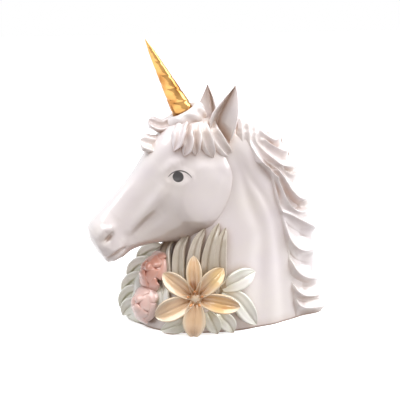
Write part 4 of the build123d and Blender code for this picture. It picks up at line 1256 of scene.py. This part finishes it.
tree = head_white.node_tree
iris = math_of(tree, "SUBTRACT", plane_gap(tree, IRIS_CENTRE), IRIS_RADIUS)
paint_over(head_white, edge_mask(tree, iris), EYE_BROWN)
chord_parts = [math_of(tree, "MULTIPLY", head_axis(tree, axis), share)
               for axis, share in zip((ALONG_AXIS, RISE_AXIS), LASH_CHORD)]
above = math_of(tree, "SUBTRACT", math_of(tree, "ADD", *chord_parts), LASH_CHORD_GAP)
half_width = math_of(tree, "MULTIPLY_ADD", above, LASH_SWELL, LASH_THIN)
off_arc = math_of(tree, "ABSOLUTE", math_of(tree, "SUBTRACT", plane_gap(tree, LASH_CENTRE), LASH_RADIUS))
lash = edge_mask(tree, math_of(tree, "SUBTRACT", off_arc, half_width), 0.1)
upper = edge_mask(tree, math_of(tree, "MULTIPLY", above, -1.0), 0.2)
paint_over(head_white, math_of(tree, "MULTIPLY", lash, upper), EYE_BROWN)
print("eyes painted")

# %% [markdown]
# The horn has a fired gold lustre: bright metal, slightly uneven, with a reddish cast in its dark parts, and
# painted shade in its grooves and at its base.

# %% Gold lustre
GOLD_CLOUDS = [(0.40, (0.30, 0.12, 0.03)), (0.60, (0.64, 0.36, 0.12))]
GOLD_CLOUD_SCALE = 90.0
GOLD_HOLLOW_SHADE = (0.16, 0.06, 0.015)
GOLD_GRAIN_SCALE = 420.0
GOLD_GRAIN_STRENGTH = 0.12
GOLD_ROUGHNESS = 0.12
gold, tree, shader = new_material("gold_lustre")
gold_tint = ramp_of(tree, noise_of(tree, GOLD_CLOUD_SCALE, NOISE_DETAIL), GOLD_CLOUDS)
gold_skin = add_node(tree, "Bump", Strength=GOLD_GRAIN_STRENGTH, Distance=BUMP_DISTANCE,
                     Height=noise_of(tree, GOLD_GRAIN_SCALE, NOISE_DETAIL))
# Painted shade: the grooves of the spiral and the horn's base are darkened by ambient occlusion.
gold_shaded = hollow_shade_mix(tree, gold_tint, GOLD_HOLLOW_SHADE, 0.004, 0.9)
set_node(tree, shader, Base_Color=gold_shaded, Metallic=1.0, Roughness=GOLD_ROUGHNESS,
         Normal=gold_skin.outputs["Normal"])
print("gold made")

# %% [markdown]
# Each piece takes its finish. What isn't named here is white.

# %% Materials on pieces
FINISHES = {
    "horn": gold,
    "head_casting": head_white,
    "lily_petals": cream, "lily_centre": cream, "lily_stamens": amber,
    "rose_upper_heart": coral, "rose_upper_petals": coral,
    "rose_lower_heart": pink, "rose_lower_petals": pink,
    **{node: green for node in LEAVES},
    "leaf_throat": throat,
}
for node, piece in pieces.items():
    piece.data.materials.append(FINISHES.get(node, white))
for piece in (left_mane, right_mane):
    piece.data.materials.append(white)
print("finished pieces", len(pieces) + 2)

# %% [markdown]
# The figurine stands on a plain white sweep. The camera, the gold and the gloss see the sweep and the room
# in white, and the floor keeps the shadow. Rays that only light the figurine pass through the floor.

# %% Stage
FLOOR_SIZE = 6.0
FLOOR_TONE = 0.9
FLOOR_GLOW = 0.62


def background_ray(tree):
    """1 for the rays of the camera, a mirror or glass, and 0 for the rays that light the figurine."""
    rays = add_node(tree, "LightPath").outputs
    mirror = math_of(tree, "MAXIMUM", rays["Is Camera Ray"], rays["Is Glossy Ray"])
    return math_of(tree, "MAXIMUM", mirror, rays["Is Transmission Ray"])


floor_bm = bmesh.new()
bmesh.ops.create_grid(floor_bm, x_segments=1, y_segments=1, size=FLOOR_SIZE / 2)
floor_mesh = bpy.data.meshes.new("floor")
floor_bm.to_mesh(floor_mesh)
floor_bm.free()
floor = bpy.data.objects.new("floor", floor_mesh)
bpy.context.scene.collection.objects.link(floor)
floor_material, tree, shader = new_material("white_sweep")
set_node(tree, shader, Base_Color=(FLOOR_TONE, FLOOR_TONE, FLOOR_TONE, 1), Roughness=0.9)
seen = background_ray(tree)
glow = add_node(tree, "Emission", Strength=math_of(tree, "MULTIPLY", seen, FLOOR_GLOW))
lit = add_node(tree, "AddShader", shader.outputs[0], glow.outputs[0])
floor_mix = add_node(tree, "MixShader", seen, add_node(tree, "BsdfTransparent").outputs[0], lit.outputs[0])
tree.links.new(floor_mix.outputs[0], tree.nodes["Material Output"].inputs["Surface"])
floor_mesh.materials.append(floor_material)
print("floor is", FLOOR_SIZE, "m wide")

# %% [markdown]
# Three soft lamps above and behind, and a weak warm one in front, light the figurine. The room's own light
# is dimmer in front, which gives the cheek and the neck their shade.

# %% Lights
# Each lamp: place in metres, size, power, colour, and whether the gloss mirrors it
LAMPS = {
    "key": ((-0.8, 0.0, 1.35), 0.9, 13, (1.0, 0.99, 1.0), True),
    "rim": ((1.35, -0.2, 0.75), 0.9, 12.4, (0.97, 0.98, 1.0), True),
    "top": ((0.55, -0.5, 1.4), 0.8, 12.4, (1.0, 0.98, 0.97), True),
    "fill": ((-0.1, -1.6, 0.1), 1.4, 5, (1.0, 0.80, 0.66), False),
}
ROOM_FRONT = Vector((-0.12, -0.9, -0.4)).normalized()
ROOM_LIGHT = [(0.45, (0.55, 0.54, 0.57)), (0.80, (0.06, 0.036, 0.026))]
for name, (location, size, power, colour, mirrored) in LAMPS.items():
    data = bpy.data.lights.new(name, "AREA")
    data.size = size
    data.energy = power
    data.color = colour
    lamp = bpy.data.objects.new(name, data)
    lamp.location = location
    lamp.visible_glossy = mirrored
    lamp.rotation_euler = (CAMERA_TARGET - Vector(location)).to_track_quat("-Z", "Y").to_euler()
    bpy.context.scene.collection.objects.link(lamp)
world = bpy.data.worlds.new("studio")
bpy.context.scene.world = world
world.use_nodes = True
tree = world.node_tree
room = ramp_of(tree, vector_of(tree, "DOT_PRODUCT", place_of(tree, "Generated"), ROOM_FRONT), ROOM_LIGHT)
set_node(tree, tree.nodes["Background"], Color=mix_of(tree, background_ray(tree), room, (1, 1, 1, 1)))
bpy.context.scene.view_settings.view_transform = "Standard"
print("lamps and world ready")
